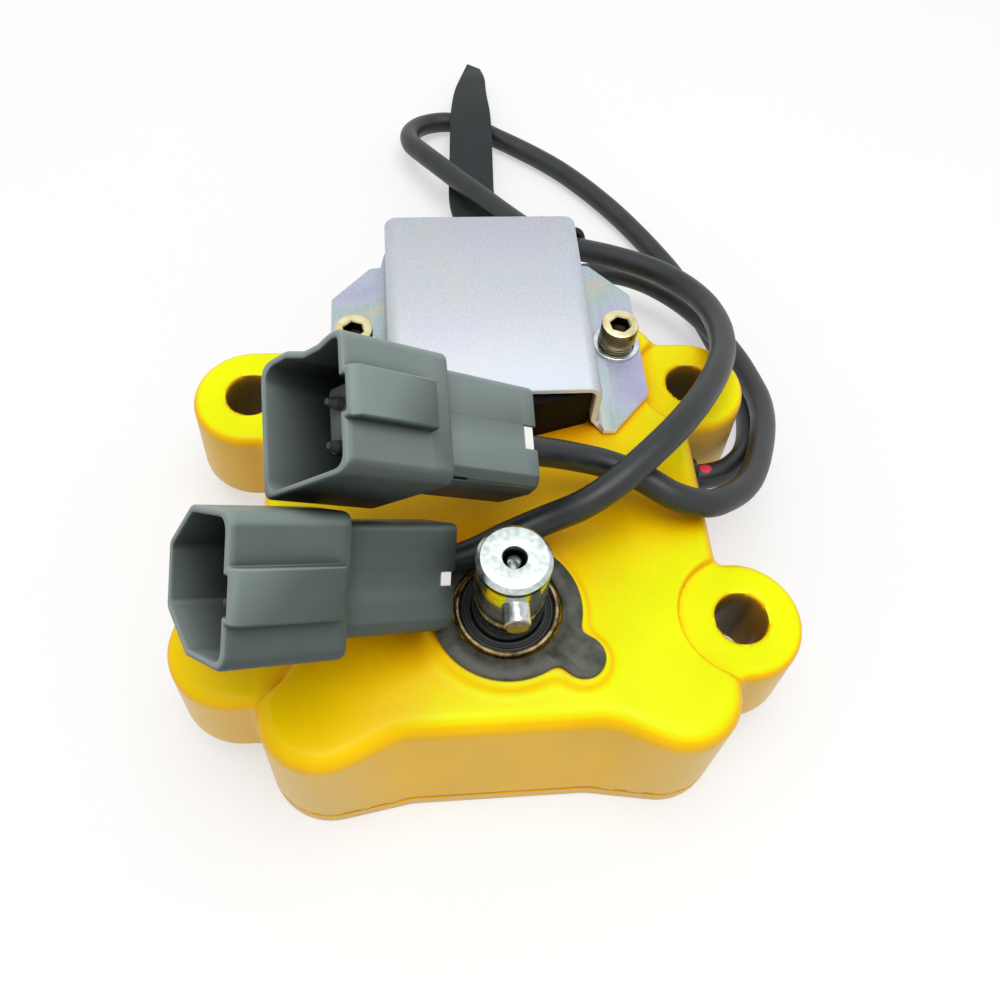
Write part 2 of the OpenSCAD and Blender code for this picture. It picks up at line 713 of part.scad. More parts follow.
// Rubber boot that fills the guard's channel and looks out at the front, further on the left
module lead_boot() {
  gap = 0.5;
  half = guard_w / 2 - sheet_t - gap;
  top = guard_h - sheet_t - gap;
  slant = 1.2;
  front = guard_front - 2;
  back = guard_front + guard_l - 6;
  color(black_rubber) translate([guard_x, 0, body_h]) intersection() {
    linear_extrude(guard_h) polygon([[-half, front], [0.45 * half, front], [half, front + 3],
      [half, back], [-half, back]]);
    translate([0, back, 0]) rotate([90, 0, 0]) linear_extrude(guard_l) polygon([[-half, 0], [half, 0],
      [half, top - slant], [half - slant, top], [slant - half, top], [-half, top - slant]]);
  }
}

// Leads

function unit(v) = v / norm(v);
// Ring of points round a route point, square to the way the route runs there
function tube_ring(route, i, r) = let (
    n = len(route) - 1,
    way = unit(route[min(i + 1, n)] - route[max(i - 1, 0)]),
    side = unit(cross(way, abs(way[2]) > 0.9 ? [1, 0, 0] : [0, 0, 1])),
    up = cross(side, way))
  [for (k = [0 : cable_sides - 1]) let (a = -360 * k / cable_sides)
    route[i] + r * (cos(a) * side + sin(a) * up)];

module lead(route) {
  color(black_rubber) loft([for (i = [0 : len(route) - 1]) tube_ring(route, i, cable_d / 2)]);
}

module grommet(at, turned) {
  flange_t = 2;
  stand = wall_draft + loose;
  color(black_rubber) translate(at) rotate(turned) difference() {
    union() {
      translate([0, 0, -entry_depth])
        cylinder(r = grommet_r - loose, h = entry_depth + stand + flange_t / 2);
      translate([0, 0, stand]) cylinder(r1 = grommet_r + 0.7, r2 = grommet_r - 0.5, h = flange_t);
    }
    translate([0, 0, -entry_depth - cut]) cylinder(d = cable_d + 2 * loose, h = entry_depth + 10);
  }
}

module side_grommet() {
  grommet(side_entry, [0, 90, 0]);
}

module rear_grommet() {
  grommet(rear_entry, [-90, 0, 0]);
}

module motor_cable() {
  lead(motor_route);
}

module sensor_cable() {
  lead(sensor_route);
}

module cable_tie() {
  color(black_rubber) {
    translate(tie_at) rotate([90 - tie_rise, 0, tie_heading]) translate([0, 0, -tie_w / 2]) difference() {
      cylinder(r = cable_d / 2 + tie_gap + tie_t, h = tie_w);
      translate([0, 0, -cut]) cylinder(r = cable_d / 2 + tie_gap, h = tie_w + 2 * cut);
    }
    loft([for (p = tie_tail) let (left = [p[0] - p[3], p[1] + p[4]], right = [p[0] + p[3], p[1] - p[4]])
      [[left[0], left[1], p[2]], [left[0], left[1], p[2] + tie_t],
        [right[0], right[1], p[2] + tie_t], [right[0], right[1], p[2]]]]);
  }
}

// Connectors

// Section of a connector, seen from the mouth: rounded above, with slanting corners below.
// Drawn in from the outside by a wall's thickness where one is given
function shell_section(w, low, high, corner, in) = let (
    half = w / 2 - in,
    top = high - in,
    foot = low + in,
    r = max(corner[2] - in, 0.5))
  [[half, foot + corner[1]], [half, top - r], [half - 0.3 * r, top - 0.3 * r], [half - r, top],
    [r - half, top], [0.3 * r - half, top - 0.3 * r], [-half, top - r], [-half, foot + corner[1]],
    [corner[0] - half, foot], [half - corner[0], foot]];
function shroud_section(in, foot) = shell_section(shroud_w, -shroud_h / 2, shroud_h / 2,
  [foot[0], foot[1], 2.5], in);
function rear_section(in) = shell_section(rear_w, rear_rise - rear_h / 2, rear_rise + rear_h / 2,
  [2.5, 2.5, 3], in);

// Bar of a given section along +X, from one station to another
module bar(section, from, to) {
  translate([from, 0, 0]) rotate([90, 0, 90]) linear_extrude(to - from) polygon(section);
}

module connector_shell(foot) {
  difference() {
    union() {
      bar(shroud_section(0, foot), 0, shroud_l);
      translate([0, -latch_w / 2, 0]) cube([shroud_l - 1.5, latch_w, shroud_h / 2 + latch_rise]);
      bar(rear_section(0), shroud_l - 1, conn_l);
    }
    bar(shroud_section(conn_wall, foot), -cut, shroud_deep);
    translate([-cut, -latch_w / 2 + conn_wall, 0])
      cube([shroud_deep + cut, latch_w - 2 * conn_wall, shroud_h / 2 + latch_rise - conn_wall]);
    // Wire chamber at the back, with the lock's window in its upper wall
    bar(rear_section(conn_wall), chamber_x, conn_l + cut);
    translate([conn_l - lock_l, -lock_w / 2, rear_rise]) cube([lock_l + cut, lock_w, rear_h]);
    for (p = pins_at) translate([shroud_deep - cut, p[0], p[1]]) rotate([0, 90, 0])
      cylinder(d = pin_seat_d, h = chamber_x - shroud_deep + 2 * cut);
  }
}
chamber_x = 36;
lock_w = 4.5;
lock_l = 3.2;
contact_d = 2.3;
pin_seat_d = contact_d + 2 * loose;
pins_at = [for (v = [-3.8, 3.8], w = [-3, 3]) [v, w + rear_rise]];

module connector_pins() {
  tip = 6;
  for (p = pins_at) translate([tip, p[0], p[1]]) rotate([0, 90, 0]) {
    cylinder(d1 = contact_d / 2, d2 = contact_d, h = 1.5);
    translate([0, 0, 1.5]) cylinder(d = contact_d, h = chamber_x - tip - 1.5);
  }
}

module connector_seal() {
  bar(rear_section(conn_wall + loose), chamber_x, conn_l - seal_inset);
}

module connector_lock() {
  translate([conn_l - lock_l + loose, -lock_w / 2 + loose, rear_rise + rear_h / 2 - conn_wall])
    cube([lock_l - 1, lock_w - 2 * loose, conn_wall - 0.3]);
}

module place(mouth, turned) {
  translate(mouth) rotate(turned) children();
}

module upper_connector_shell() {
  color(grey_plastic) place(upper_mouth, upper_turn) connector_shell(upper_foot);
}

module upper_connector_pins() {
  color(bright_steel) place(upper_mouth, upper_turn) connector_pins();
}

module upper_connector_lock() {
  color(white_plastic) place(upper_mouth, upper_turn) connector_lock();
}

module upper_connector_seal() {
  color(black_rubber) place(upper_mouth, upper_turn) connector_seal();
}

module lower_connector_shell() {
  color(grey_plastic) place(lower_mouth, lower_turn) connector_shell(lower_foot);
}

module lower_connector_pins() {
  color(bright_steel) place(lower_mouth, lower_turn) connector_pins();
}

module lower_connector_lock() {
  color(white_plastic) place(lower_mouth, lower_turn) connector_lock();
}

module lower_connector_seal() {
  color(black_rubber) place(lower_mouth, lower_turn) connector_seal();
}

housing();
mounting_ears();
base_cover();
cover_gasket();
cover_screws();
output_shaft();
cross_pin();
upper_bush();
lower_bush();
seal_case();
seal_lip();
retainer_plate();
thrust_washer();
sector_gear();
gear_key();
shaft_circlip();
motor_can();
motor_stator();
motor_rotor();
motor_pinion();
sensor_body();
sensor_wiper();
cable_guard();
guard_screws();
spring_washers();
flat_washers();
lead_boot();
side_grommet();
rear_grommet();
motor_cable();
sensor_cable();
cable_tie();
upper_connector_shell();
upper_connector_pins();
upper_connector_lock();
upper_connector_seal();
lower_connector_shell();
lower_connector_pins();
lower_connector_lock();
lower_connector_seal();
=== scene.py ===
# %% [markdown]
# # An engine governor actuator
# This part moves the fuel lever of a diesel engine: a motor in a cast housing turns a short steel
# shaft, and two leads with grey connectors carry its current and its position signal.
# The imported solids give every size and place. Here each visible piece gets its finer shape, and each
# finish gets its nodes. All sizes below are in millimetres until a mesh is made.

# %% Load the frame
import math
import bpy
import bmesh
import numpy as np
from mathutils import Matrix, Vector


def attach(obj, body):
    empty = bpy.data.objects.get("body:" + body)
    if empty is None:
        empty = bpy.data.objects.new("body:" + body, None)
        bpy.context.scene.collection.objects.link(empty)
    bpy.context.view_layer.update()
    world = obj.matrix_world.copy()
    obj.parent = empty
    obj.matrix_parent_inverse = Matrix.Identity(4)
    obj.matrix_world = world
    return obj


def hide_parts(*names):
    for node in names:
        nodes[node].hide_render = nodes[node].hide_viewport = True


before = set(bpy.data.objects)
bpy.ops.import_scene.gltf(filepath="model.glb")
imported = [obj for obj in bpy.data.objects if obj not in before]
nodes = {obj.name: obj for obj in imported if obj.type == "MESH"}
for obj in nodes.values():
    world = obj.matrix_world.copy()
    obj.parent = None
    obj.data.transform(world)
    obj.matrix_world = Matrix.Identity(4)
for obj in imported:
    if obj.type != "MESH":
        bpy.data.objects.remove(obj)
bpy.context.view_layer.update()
MM = 0.001

# %% [markdown]
# ## Camera
# The photograph looks down at the shaft from the front, a little from the left, with the camera
# rolled a few degrees. A camera is a point and three directions, so its matrix is written straight
# from the yaw, the pitch and the roll, without a target object to follow.

# %% Camera
CAMERA_AT = (-0.0178, -0.07861, 0.20804)
CAMERA_LENS, CAMERA_SENSOR = 34.71, 36.0
yaw, pitch, roll = np.radians([10.07, 58.59, 6.61])
forward = np.array([math.sin(yaw) * math.cos(pitch), math.cos(yaw) * math.cos(pitch), -math.sin(pitch)])
level = np.array([math.cos(yaw), -math.sin(yaw), 0.0])
upward = np.cross(level, forward)
right = math.cos(roll) * level + math.sin(roll) * upward
above = math.cos(roll) * upward - math.sin(roll) * level
view = Matrix.Identity(4)
for column, axis in enumerate((right, above, -forward)):
    view.col[column] = Vector((*axis, 0.0))
view.col[3] = Vector((*CAMERA_AT, 1.0))
camera = bpy.data.objects.new("camera", bpy.data.cameras.new("camera"))
camera.data.lens, camera.data.sensor_width = CAMERA_LENS, CAMERA_SENSOR
camera.data.clip_start = 0.01
camera.matrix_world = view
bpy.context.scene.collection.objects.link(camera)
bpy.context.scene.camera = camera
print("camera at", [round(v, 3) for v in camera.location])

# %% [markdown]
# ## Meshes from arrays
# Nearly every piece is a grid of points: a function of two parameters, worked out as one array.
# These helpers turn such a grid into a closed mesh at the origin, weld its seams and poles, turn its
# faces outwards, and mark as sharp only the edges that bend more than a given angle.

# %% Mesh helpers
def grid_faces(rows, cols, wrap_rows=False, wrap_cols=False):
    """Quads between neighbours in a grid; wrapping also joins the last row or column to the first."""
    i = np.arange(rows if wrap_rows else rows - 1)[:, None]
    j = np.arange(cols if wrap_cols else cols - 1)[None, :]
    i2, j2 = (i + 1) % rows, (j + 1) % cols
    quads = np.broadcast_arrays(i * cols + j, i * cols + j2, i2 * cols + j2, i2 * cols + j)
    return np.stack(quads, -1).reshape(-1, 4)


def unit(vectors):
    """Rows of vectors, each cut to length one."""
    return vectors / np.linalg.norm(vectors, axis=1)[:, None]


def full_turn(count):
    """Even angles round a full turn, as a column."""
    return np.linspace(0, 2 * np.pi, count, endpoint=False)[:, None]


def turned(radii, levels, angle):
    """Points at radii and levels about the Z axis, one row for each angle of a column."""
    radii = radii + 0 * angle
    return np.stack([radii * np.cos(angle), radii * np.sin(angle), levels + 0 * radii], -1)


def put_mesh(name, parts, sharp=35.0, outward=True):
    """One object from a list of (points, faces) shells in millimetres, welded and facing outwards."""
    shape = bmesh.new()
    for points, faces in parts:
        mesh = bpy.data.meshes.new("shell")
        places = np.asarray(points, float).reshape(-1, 3) * MM
        mesh.from_pydata(places.tolist(), [], [list(f) for f in faces])
        shape.from_mesh(mesh)
        bpy.data.meshes.remove(mesh)
    bmesh.ops.remove_doubles(shape, verts=shape.verts, dist=1e-7)
    bmesh.ops.dissolve_degenerate(shape, edges=shape.edges, dist=1e-8)
    if outward:
        bmesh.ops.recalc_face_normals(shape, faces=shape.faces)
    mesh = bpy.data.meshes.new(name)
    shape.to_mesh(mesh)
    shape.free()
    mesh.polygons.foreach_set("use_smooth", np.ones(len(mesh.polygons), bool))
    mesh.set_sharp_from_angle(angle=math.radians(sharp))
    piece = bpy.data.objects.new(name, mesh)
    bpy.context.scene.collection.objects.link(piece)
    return piece


def tube_of_rings(rings, closed=False):
    """Shell through a stack of equal rings (stations, points, 3), capped at both ends or joined up."""
    stations, count = rings.shape[:2]
    faces = grid_faces(stations, count, closed, True).tolist()
    if not closed:
        faces += [list(range(count))[::-1], list(range((stations - 1) * count, stations * count))]
    return rings, faces


def rounded(corners, radius, steps=5):
    """Closed outline with every corner swapped for an arc that touches both of its sides."""
    p = np.asarray(corners, float)
    back, ahead = np.roll(p, 1, 0) - p, np.roll(p, -1, 0) - p
    room = np.minimum(np.linalg.norm(back, axis=1), np.linalg.norm(ahead, axis=1)) * 0.49
    back, ahead = unit(back), unit(ahead)
    half = np.arccos(np.clip((back * ahead).sum(1), -0.99999, 0.99999)) / 2
    reach = np.minimum(np.broadcast_to(radius, len(p)) / np.tan(half), room)
    k = np.linspace(0, 1, steps)[None, :, None]
    start, end = (p + back * reach[:, None])[:, None], (p + ahead * reach[:, None])[:, None]
    return ((1 - k) ** 2 * start + 2 * k * (1 - k) * p[:, None] + k ** 2 * end).reshape(-1, 2)


def moved(shell, place):
    """The same shell with its points shifted."""
    return np.asarray(shell[0], float) + np.asarray(place, float), shell[1]


def make(name, parts, *replaced, slot, body="housing_body", sharp=35.0):
    """A piece from shells, with the body it rides on and the solids it stands for. Its finish's slot is not
    used.
    """
    piece = put_mesh(name, parts, sharp)
    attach(piece, body)
    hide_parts(*replaced)
    print(f"{piece.name}: {len(piece.data.polygons)} faces for {', '.join(replaced)}")
    return piece


# %% [markdown]
# ## Leads
# The two leads are 6 mm of black rubber with a mind of their own: they arch over the housing's right
# side, loop round behind it and come back to its walls. Each is a round section carried along a
# smooth curve through the same points as its solid. A Catmull-Rom curve passes through every point,
# so the finer lead stays where the solid is.

# %% Lead routes
CONNECTORS = {
    "upper": (np.array([-35, 15, 80.7]), np.radians([25.3, 36.2, 17.1])),
    "lower": (np.array([-53, -6.7, 66.4]), np.radians([39.7, 31.1, 17.4])),
}


def connector_turn(angles):
    """Matrix that turns about X, then Y, then Z."""
    c, s = np.cos(angles), np.sin(angles)
    about_x = np.array([[1, 0, 0], [0, c[0], -s[0]], [0, s[0], c[0]]])
    about_y = np.array([[c[1], 0, s[1]], [0, 1, 0], [-s[1], 0, c[1]]])
    about_z = np.array([[c[2], -s[2], 0], [s[2], c[2], 0], [0, 0, 1]])
    return about_z @ about_y @ about_x


def in_connector(which, points):
    """Points along a connector (from its mouth), across it and up from it, placed in the frame."""
    place, angles = CONNECTORS[which]
    return np.asarray(points, float) @ connector_turn(angles).T + place


def smooth_route(points, spacing=1.2):
    """Catmull-Rom curve through the points, sampled at even steps along its length."""
    p = np.asarray(points, float)
    p = np.vstack([2 * p[0] - p[1], p, 2 * p[-1] - p[-2]])
    t = np.linspace(0, 1, 24, endpoint=False)[None, :, None]
    a, b, c, d = (p[k:len(p) - 3 + k, None] for k in range(4))
    curve = 0.5 * (2 * b + (c - a) * t + (2 * a - 5 * b + 4 * c - d) * t ** 2
                   + (3 * b - a - 3 * c + d) * t ** 3)
    curve = np.vstack([curve.reshape(-1, 3), p[-2]])
    along = np.r_[0, np.cumsum(np.linalg.norm(np.diff(curve, axis=0), axis=1))]
    even = np.linspace(0, along[-1], int(along[-1] / spacing) + 1)
    return np.stack([np.interp(even, along, curve[:, k]) for k in range(3)], -1), along[-1]


def swept(path, radius, sides=24):
    """Circle carried along a path, square to it; the side vector stays level so the tube can't twist."""
    way = unit(np.gradient(path, axis=0))
    side = unit(np.cross(way, [0, 0, 1.0]))
    lift = np.cross(side, way)
    angle = full_turn(sides)
    rim = np.cos(angle) * side[:, None] + np.sin(angle) * lift[:, None]
    return tube_of_rings(path[:, None] + radius * rim)


LEAD_D = 6.0
motor_points = np.vstack([
    [[45, 38.3, 21], [50.5, 38.3, 21], [56, 39.9, 20.6], [61, 44.1, 18.9], [64.7, 49.9, 16],
     [67.6, 57.1, 12.7], [69.6, 64.8, 9.8], [70.5, 72.8, 7.3], [70.4, 81, 5.3], [69.3, 89.3, 4],
     [67.7, 97.6, 3.3], [65.6, 105.7, 3.2], [63.1, 113.8, 3.2], [60.1, 121.7, 3.2], [56.5, 129.3, 3.2],
     [52.5, 136.8, 3.2], [48.2, 144.1, 3.2], [43.5, 151.1, 3.2], [38.4, 157.8, 3.2], [32.9, 164.2, 3.2],
     [26.8, 170, 3.2], [20.2, 175.4, 3.2], [13.5, 180.4, 3.2], [6.7, 185.4, 3.2], [-1.3, 187.9, 3.5],
     [-9.2, 185.4, 4.5], [-13.9, 178.9, 6.5], [-14, 170.9, 8.9], [-10.3, 163.6, 10.7],
     [-5.6, 156.7, 11.8], [-0.5, 149.9, 12.4], [4.6, 143.3, 13.1], [9.5, 136.4, 14], [14.1, 129.5, 15.4],
     [18.6, 122.6, 17.3], [23.7, 116.4, 19.9], [29.4, 110.8, 22.6], [35.7, 105.8, 25.2], [42.4, 101, 27],
     [48.8, 95.7, 28.3], [53.7, 89, 30], [56.3, 81.4, 32.4], [56.8, 73.5, 35.2], [55.7, 65.7, 38.4],
     [53.5, 58.2, 41.5], [50.1, 51, 44.3], [45.9, 44.1, 46.7], [41.1, 37.5, 48.9], [35.7, 31.2, 50.3],
     [29.6, 25.4, 50.6], [23, 20.1, 49.7], [15.9, 16.5, 47.2], [8.3, 15.1, 43.8], [0.5, 12.9, 41.6],
     [-5.3, 10.2, 41.2]],
    in_connector("lower", [[50.5, 2.5, 1.5], [46, 2.5, 1.5]])])
sensor_points = np.vstack([
    [[-20, 77, 16], [-20, 82.5, 16], [-20.8, 88, 16.2], [-22.1, 92.8, 16.3], [-22.3, 100.7, 16.2],
     [-19.7, 108.2, 15.9], [-13.8, 113.3, 15.4], [-6, 114.5, 14.9], [1.8, 113.4, 14.5],
     [9.5, 111.4, 14.1], [17.3, 109.9, 13.7], [25.3, 109.8, 13.2], [33, 111.4, 12.5],
     [40.9, 112.4, 11.7], [48.4, 110.2, 11], [55, 105.8, 10.6], [60.4, 99.9, 10.7], [64.3, 93.1, 11.4],
     [67, 85.7, 12.5], [68.8, 78.1, 14.1], [69.7, 70.4, 15.9], [69.8, 62.8, 18.2], [68.5, 55.4, 20.8],
     [66.1, 48.4, 23.6], [63.1, 41.6, 26.5], [59.7, 35, 29.4], [55.5, 28.9, 32.4], [50, 24, 35.5],
     [43.5, 20.7, 38.5], [36.2, 21.2, 41.1], [29.4, 25.1, 42.7], [22.1, 28, 43.8], [16.4, 28.7, 45.3],
     [11.3, 28.2, 47.8]],
    in_connector("upper", [[52, 0, 1.5], [46, 0, 1.5]])])

# %% Leads
leads = {}
for name, points, which in (("motor_cable", motor_points, "lower"),
                            ("sensor_cable", sensor_points, "upper")):
    route, length = smooth_route(points)
    lead = make(name + "_lead", [swept(route, LEAD_D / 2)], name, slot="rubber")
    leads[name] = (lead, route, length, which)
    print(f"  {length:.0f} mm long")

# %% [markdown]
# ## Housing
# The casting is all soft edges: lobes, ears and a raised pad flow into each other, and thick paint
# rounds off what the mould left sharp. Bevels on a faceted solid can't give that flow, so the casting
# is drawn as a field: a formula that says how far any point is from the skin, negative inside. Parts
# join with a smooth minimum, cuts use a smooth maximum, and the blend width is the fillet.
# A net of points is then laid where the field is zero.

# %% Field helpers
def smooth_min(a, b, width):
    """The lower of two fields, with a fillet of about the width where they meet."""
    h = np.clip(0.5 + 0.5 * (b - a) / width, 0, 1)
    return b + (a - b) * h - width * h * (1 - h)


def smooth_max(a, b, width):
    """The higher of two fields, with a soft edge where they meet."""
    return -smooth_min(-a, -b, width)


def round_join(a, b, radius):
    """Inside both fields, with a round edge of the radius where the two skins meet."""
    corner = np.hypot(np.maximum(a + radius, 0), np.maximum(b + radius, 0))
    return np.minimum(np.maximum(a, b) + radius, 0) + corner - radius


def belt_outline(circles, steps=10):
    """Line of a belt run round circles: an arc on each, joined by straight runs that touch both.
    A circle with a negative radius presses on the belt from outside."""
    c, r = circles[:, :2], circles[:, 2]
    run = np.roll(c, -1, 0) - c
    lean = np.arccos((r - np.roll(r, -1)) / np.linalg.norm(run, axis=1))
    leave = np.arctan2(run[:, 1], run[:, 0]) - lean
    arrive = np.roll(leave, 1)
    sweep = np.where(r > 0, (leave - arrive) % (2 * np.pi), -((arrive - leave) % (2 * np.pi)))
    angle = arrive[:, None] + sweep[:, None] * np.linspace(0, 1, steps)
    return (c[:, None] + r[:, None, None] * np.stack([np.cos(angle), np.sin(angle)], -1)).reshape(-1, 2)


BATCH = 20000


def outline_distance(x, y, outline):
    """Distance to the nearest side of a closed outline; it is negative inside, where a ray to the right
    crosses the outline an odd number of times. Worked in batches to keep the arrays small."""
    x, y = np.broadcast_arrays(x, y)
    a = outline.astype(np.float32)
    side = np.roll(a, -1, 0) - a
    points = np.stack([x.ravel(), y.ravel()], -1).astype(np.float32)
    answer = []
    for q in np.array_split(points, max(1, x.size // BATCH)):
        to = q[:, None] - a
        t = np.clip((to * side).sum(-1) / (side ** 2).sum(-1), 0, 1)
        near = np.linalg.norm(to - t[..., None] * side, axis=-1).min(1)
        spans = (a[:, 1] > q[:, 1:]) != (a[:, 1] + side[:, 1] > q[:, 1:])
        at = a[:, 0] + side[:, 0] * (q[:, 1:] - a[:, 1]) / np.where(side[:, 1] == 0, 1e-9, side[:, 1])
        answer.append(np.where((spans & (q[:, :1] < at)).sum(1) % 2 == 1, -near, near))
    return np.concatenate(answer).reshape(x.shape).astype(float)


# %% Housing field
BODY_TOP, EAR_TOP, EAR_FOOT, CASE_FOOT = 34.0, 32.0, 11.0, 4.0
EARS = [(-53, -2.5, -1), (-53, 57.5, -1), (48, -2.5, 1), (48, 57.5, 1)]
BELT_TOP = np.array([[33, -17, 12], [36, 50, 9], [31, 66.5, 10.5], [-29.4, 66.5, 10.5],
                     [-40, 50, 9], [-36, -17, 12], [-19, -33, -10], [16, -33, -10]], float)
BELT_FOOT = BELT_TOP + np.where(BELT_TOP[:, 2:] > 0, [[0, 0, 1]], [[0, -4.5, 0]])
CAVITY = np.array([[24, -11, 5], [33, 4, 5], [33, 44, 5], [20, 57.3, 5],
                   [-20, 57.3, 5], [-37, 44, 5], [-37, 4, 5], [-27, -11, 5]], float)
LUG = (13.9, -10.9, 4.3)
EAR_R, EAR_ARM, EAR_LEAN, HOLE_R, SPOT_R = 12.8, 14, 21, 5.5, 13.2
PAD_R, PAD_TOP, PAD_MARGIN = 16, 35.5, 1.1
ROOF, BOSS_R, BOSS_FOOT = 29, 13.05, 15.5
SEAL_R, SEAL_FOOT, BUSH_R = 10.4, 29.5, 9.05
ENTRY_R, SIDE_ENTRY, REAR_ENTRY = 4.8, (30, 38.3, 21), (-20, 55, 16)


def casting(x, y, z):
    """Walls that lean in from the foot to the top, ears on straight arms, spot faces cut round the ear
    holes, a pad round the shaft, then the bores, the cable entries and the open mechanism space."""
    rise = np.clip((z - CASE_FOOT) / (BODY_TOP - CASE_FOOT), 0, 1)
    wall = (1 - rise) * outline_distance(x, y, belt_outline(BELT_FOOT)) \
        + rise * outline_distance(x, y, belt_outline(BELT_TOP))
    body = round_join(wall, z - BODY_TOP, 3.5)
    around = np.hypot(x, y)
    for ear_x, ear_y, side in EARS:
        reach = np.clip((ear_x - x) * side, 0, EAR_ARM)
        arm = np.hypot(x - ear_x + side * reach, y - ear_y) - EAR_R - (EAR_TOP - z) / EAR_LEAN
        ear = round_join(round_join(arm, z - EAR_TOP, 2.5), EAR_FOOT - z, 0.8)
        body = smooth_min(body, ear, 2.2)
    pad = smooth_min(around - PAD_R, np.hypot(x - LUG[0], y - LUG[1]) - LUG[2] - PAD_MARGIN, 3)
    body = smooth_min(body, np.maximum(round_join(pad, z - PAD_TOP, 1.0), SEAL_FOOT - z), 2.4)
    for ear_x, ear_y, _ in EARS:
        spot = np.hypot(x - ear_x, y - ear_y)
        body = smooth_max(body, -np.maximum(spot - SPOT_R, EAR_TOP - z), 1.0)
        body = smooth_max(body, HOLE_R - spot, 0.7)
    space = np.maximum(outline_distance(x, y, belt_outline(CAVITY)), z - ROOF)
    space = np.maximum(space, -np.maximum(around - BOSS_R, BOSS_FOOT - z))
    bores = np.minimum(np.maximum(around - SEAL_R, SEAL_FOOT - z), around - BUSH_R)
    side_hole = np.hypot(y - SIDE_ENTRY[1], z - SIDE_ENTRY[2]) - ENTRY_R
    rear_hole = np.hypot(x - REAR_ENTRY[0], z - REAR_ENTRY[2]) - ENTRY_R
    entries = np.minimum(np.maximum(side_hole, SIDE_ENTRY[0] - x), np.maximum(rear_hole, REAR_ENTRY[1] - y))
    body = np.maximum(body, -np.minimum(np.minimum(space, bores), entries))
    return np.maximum(body, CASE_FOOT - z)


# %% [markdown]
# The net: every grid cell that the skin passes through gets one point, at the mean of the places where
# the skin cuts the cell's edges, and every grid edge that the skin cuts becomes a quad between the four
# cells around it. Two steps along the slope of the field then put the points exactly on the skin.

# %% Surface net
def surface_net(field, low, step):
    """Points and quads of the zero level of a field that is sampled on a regular grid."""
    inside = field < 0
    cells = np.array(field.shape) - 1
    total, hits = np.zeros((*cells, 3)), np.zeros(cells)
    corner = np.stack(np.meshgrid(*[np.arange(n) for n in cells], indexing="ij"), -1).astype(float)
    faces = []
    for axis in range(3):
        others = [k for k in range(3) if k != axis]
        for shift in ((0, 0), (0, 1), (1, 0), (1, 1)):
            start = [slice(0, n) for n in cells]
            for k, s in zip(others, shift):
                start[k] = slice(s, cells[k] + s)
            end = list(start)
            end[axis] = slice(1, cells[axis] + 1)
            a, b = field[tuple(start)], field[tuple(end)]
            cut = inside[tuple(start)] != inside[tuple(end)]
            place = corner.copy()
            for k, s in zip(others, shift):
                place[..., k] += s
            place[..., axis] += np.where(cut, a / np.where(cut, a - b, 1), 0)
            total += np.where(cut[..., None], place, 0)
            hits += cut
    index = np.cumsum(hits.ravel() > 0).reshape(cells) - 1
    for axis in range(3):
        u, v = [k for k in range(3) if k != axis]
        inner = [slice(1, n) for n in cells]
        inner[axis] = slice(0, cells[axis])
        ahead = list(inner)
        ahead[axis] = slice(1, cells[axis] + 1)
        edge = np.argwhere(inside[tuple(inner)] != inside[tuple(ahead)])
        edge[:, [u, v]] += 1
        back_u, back_v = np.eye(3, dtype=int)[[u, v]]
        ring = [edge, edge - back_u, edge - back_u - back_v, edge - back_v]
        faces.append(np.stack([index[tuple(r.T)] for r in ring], -1))
    active = hits.ravel() > 0
    points = (total.reshape(-1, 3)[active] / hits.ravel()[active, None]) * step + low
    return points, np.vstack(faces)


def settle(points, field, limit):
    """Each point moved along the field's slope until the field there is zero, by no more than a limit."""
    small = 0.02
    for _ in range(2):
        gap = field(*points.T)
        slope = np.stack([field(*(points + small * e).T) - field(*(points - small * e).T)
                          for e in np.eye(3)], -1) / (2 * small)
        move = -gap[:, None] * slope / np.maximum((slope ** 2).sum(1), 0.25)[:, None]
        points = points + np.clip(move, -limit, limit)
    return points


# %% Housing
STEP = 0.95
low, high = np.array([-68.6, -32.6, 2.6]), np.array([63.6, 79.6, 37.4])
axes = [np.arange(a, b + STEP, STEP) for a, b in zip(low, high)]
field = casting(axes[0][:, None, None], axes[1][None, :, None], axes[2][None, None, :])
points, quads = surface_net(field, low, STEP)
points = settle(points, casting, 0.4 * STEP)
make("housing_casting", [(points, quads)], "housing", "mounting_ears", slot="paint", sharp=60)

# %% [markdown]
# ## Shaft, pin, seal and plate
# These are turned parts, so each is a profile spun about its axis. The seal's metal case stands a
# little above the plate and catches the light; the rubber lip inside it touches the shaft.
# The plate's outline is found ray by ray: the radius at which a disc and a lug, smoothly joined, end.

# %% Turned pieces
def spun(profile, radius=0.2, steps=128, open_ends=True):
    """Profile of (radius, height) corners, rounded and spun; open ends lie on the axis."""
    p = np.asarray(profile, float)
    if open_ends:
        line = np.vstack([p[:1], rounded(p, radius, 4).reshape(len(p), 4, 2)[1:-1].reshape(-1, 2), p[-1:]])
    else:
        line = rounded(p, radius, 4)
    points = turned(line[:, 0], line[:, 1], full_turn(steps))
    return points, grid_faces(steps, len(line), True, not open_ends)


shaft_profile = [(0, 8.2), (5, 8.2), (5, 14.5), (7, 14.5), (7, 56.6), (6.2, 57.5), (2.3, 57.5),
                 (1.5, 55.6), (1.2, 55.4), (1.2, 52.6), (0, 52.4)]
make("shaft_ground", [spun(shaft_profile, 0.12)], "output_shaft", slot="bright_steel", body="shaft_body")

PIN_Z = 51.5
pin_profile = [(0, 11.2), (1.9, 11.2), (2.5, 10.6), (2.5, -6), (0, -6)]
pin_points, pin_faces = spun(pin_profile, 0.25, 64)
pin_points = np.stack([pin_points[..., 0], -pin_points[..., 2], pin_points[..., 1] + PIN_Z], -1)
make("cross_pin_turned", [(pin_points, pin_faces)], "cross_pin", slot="bright_steel", body="shaft_body")

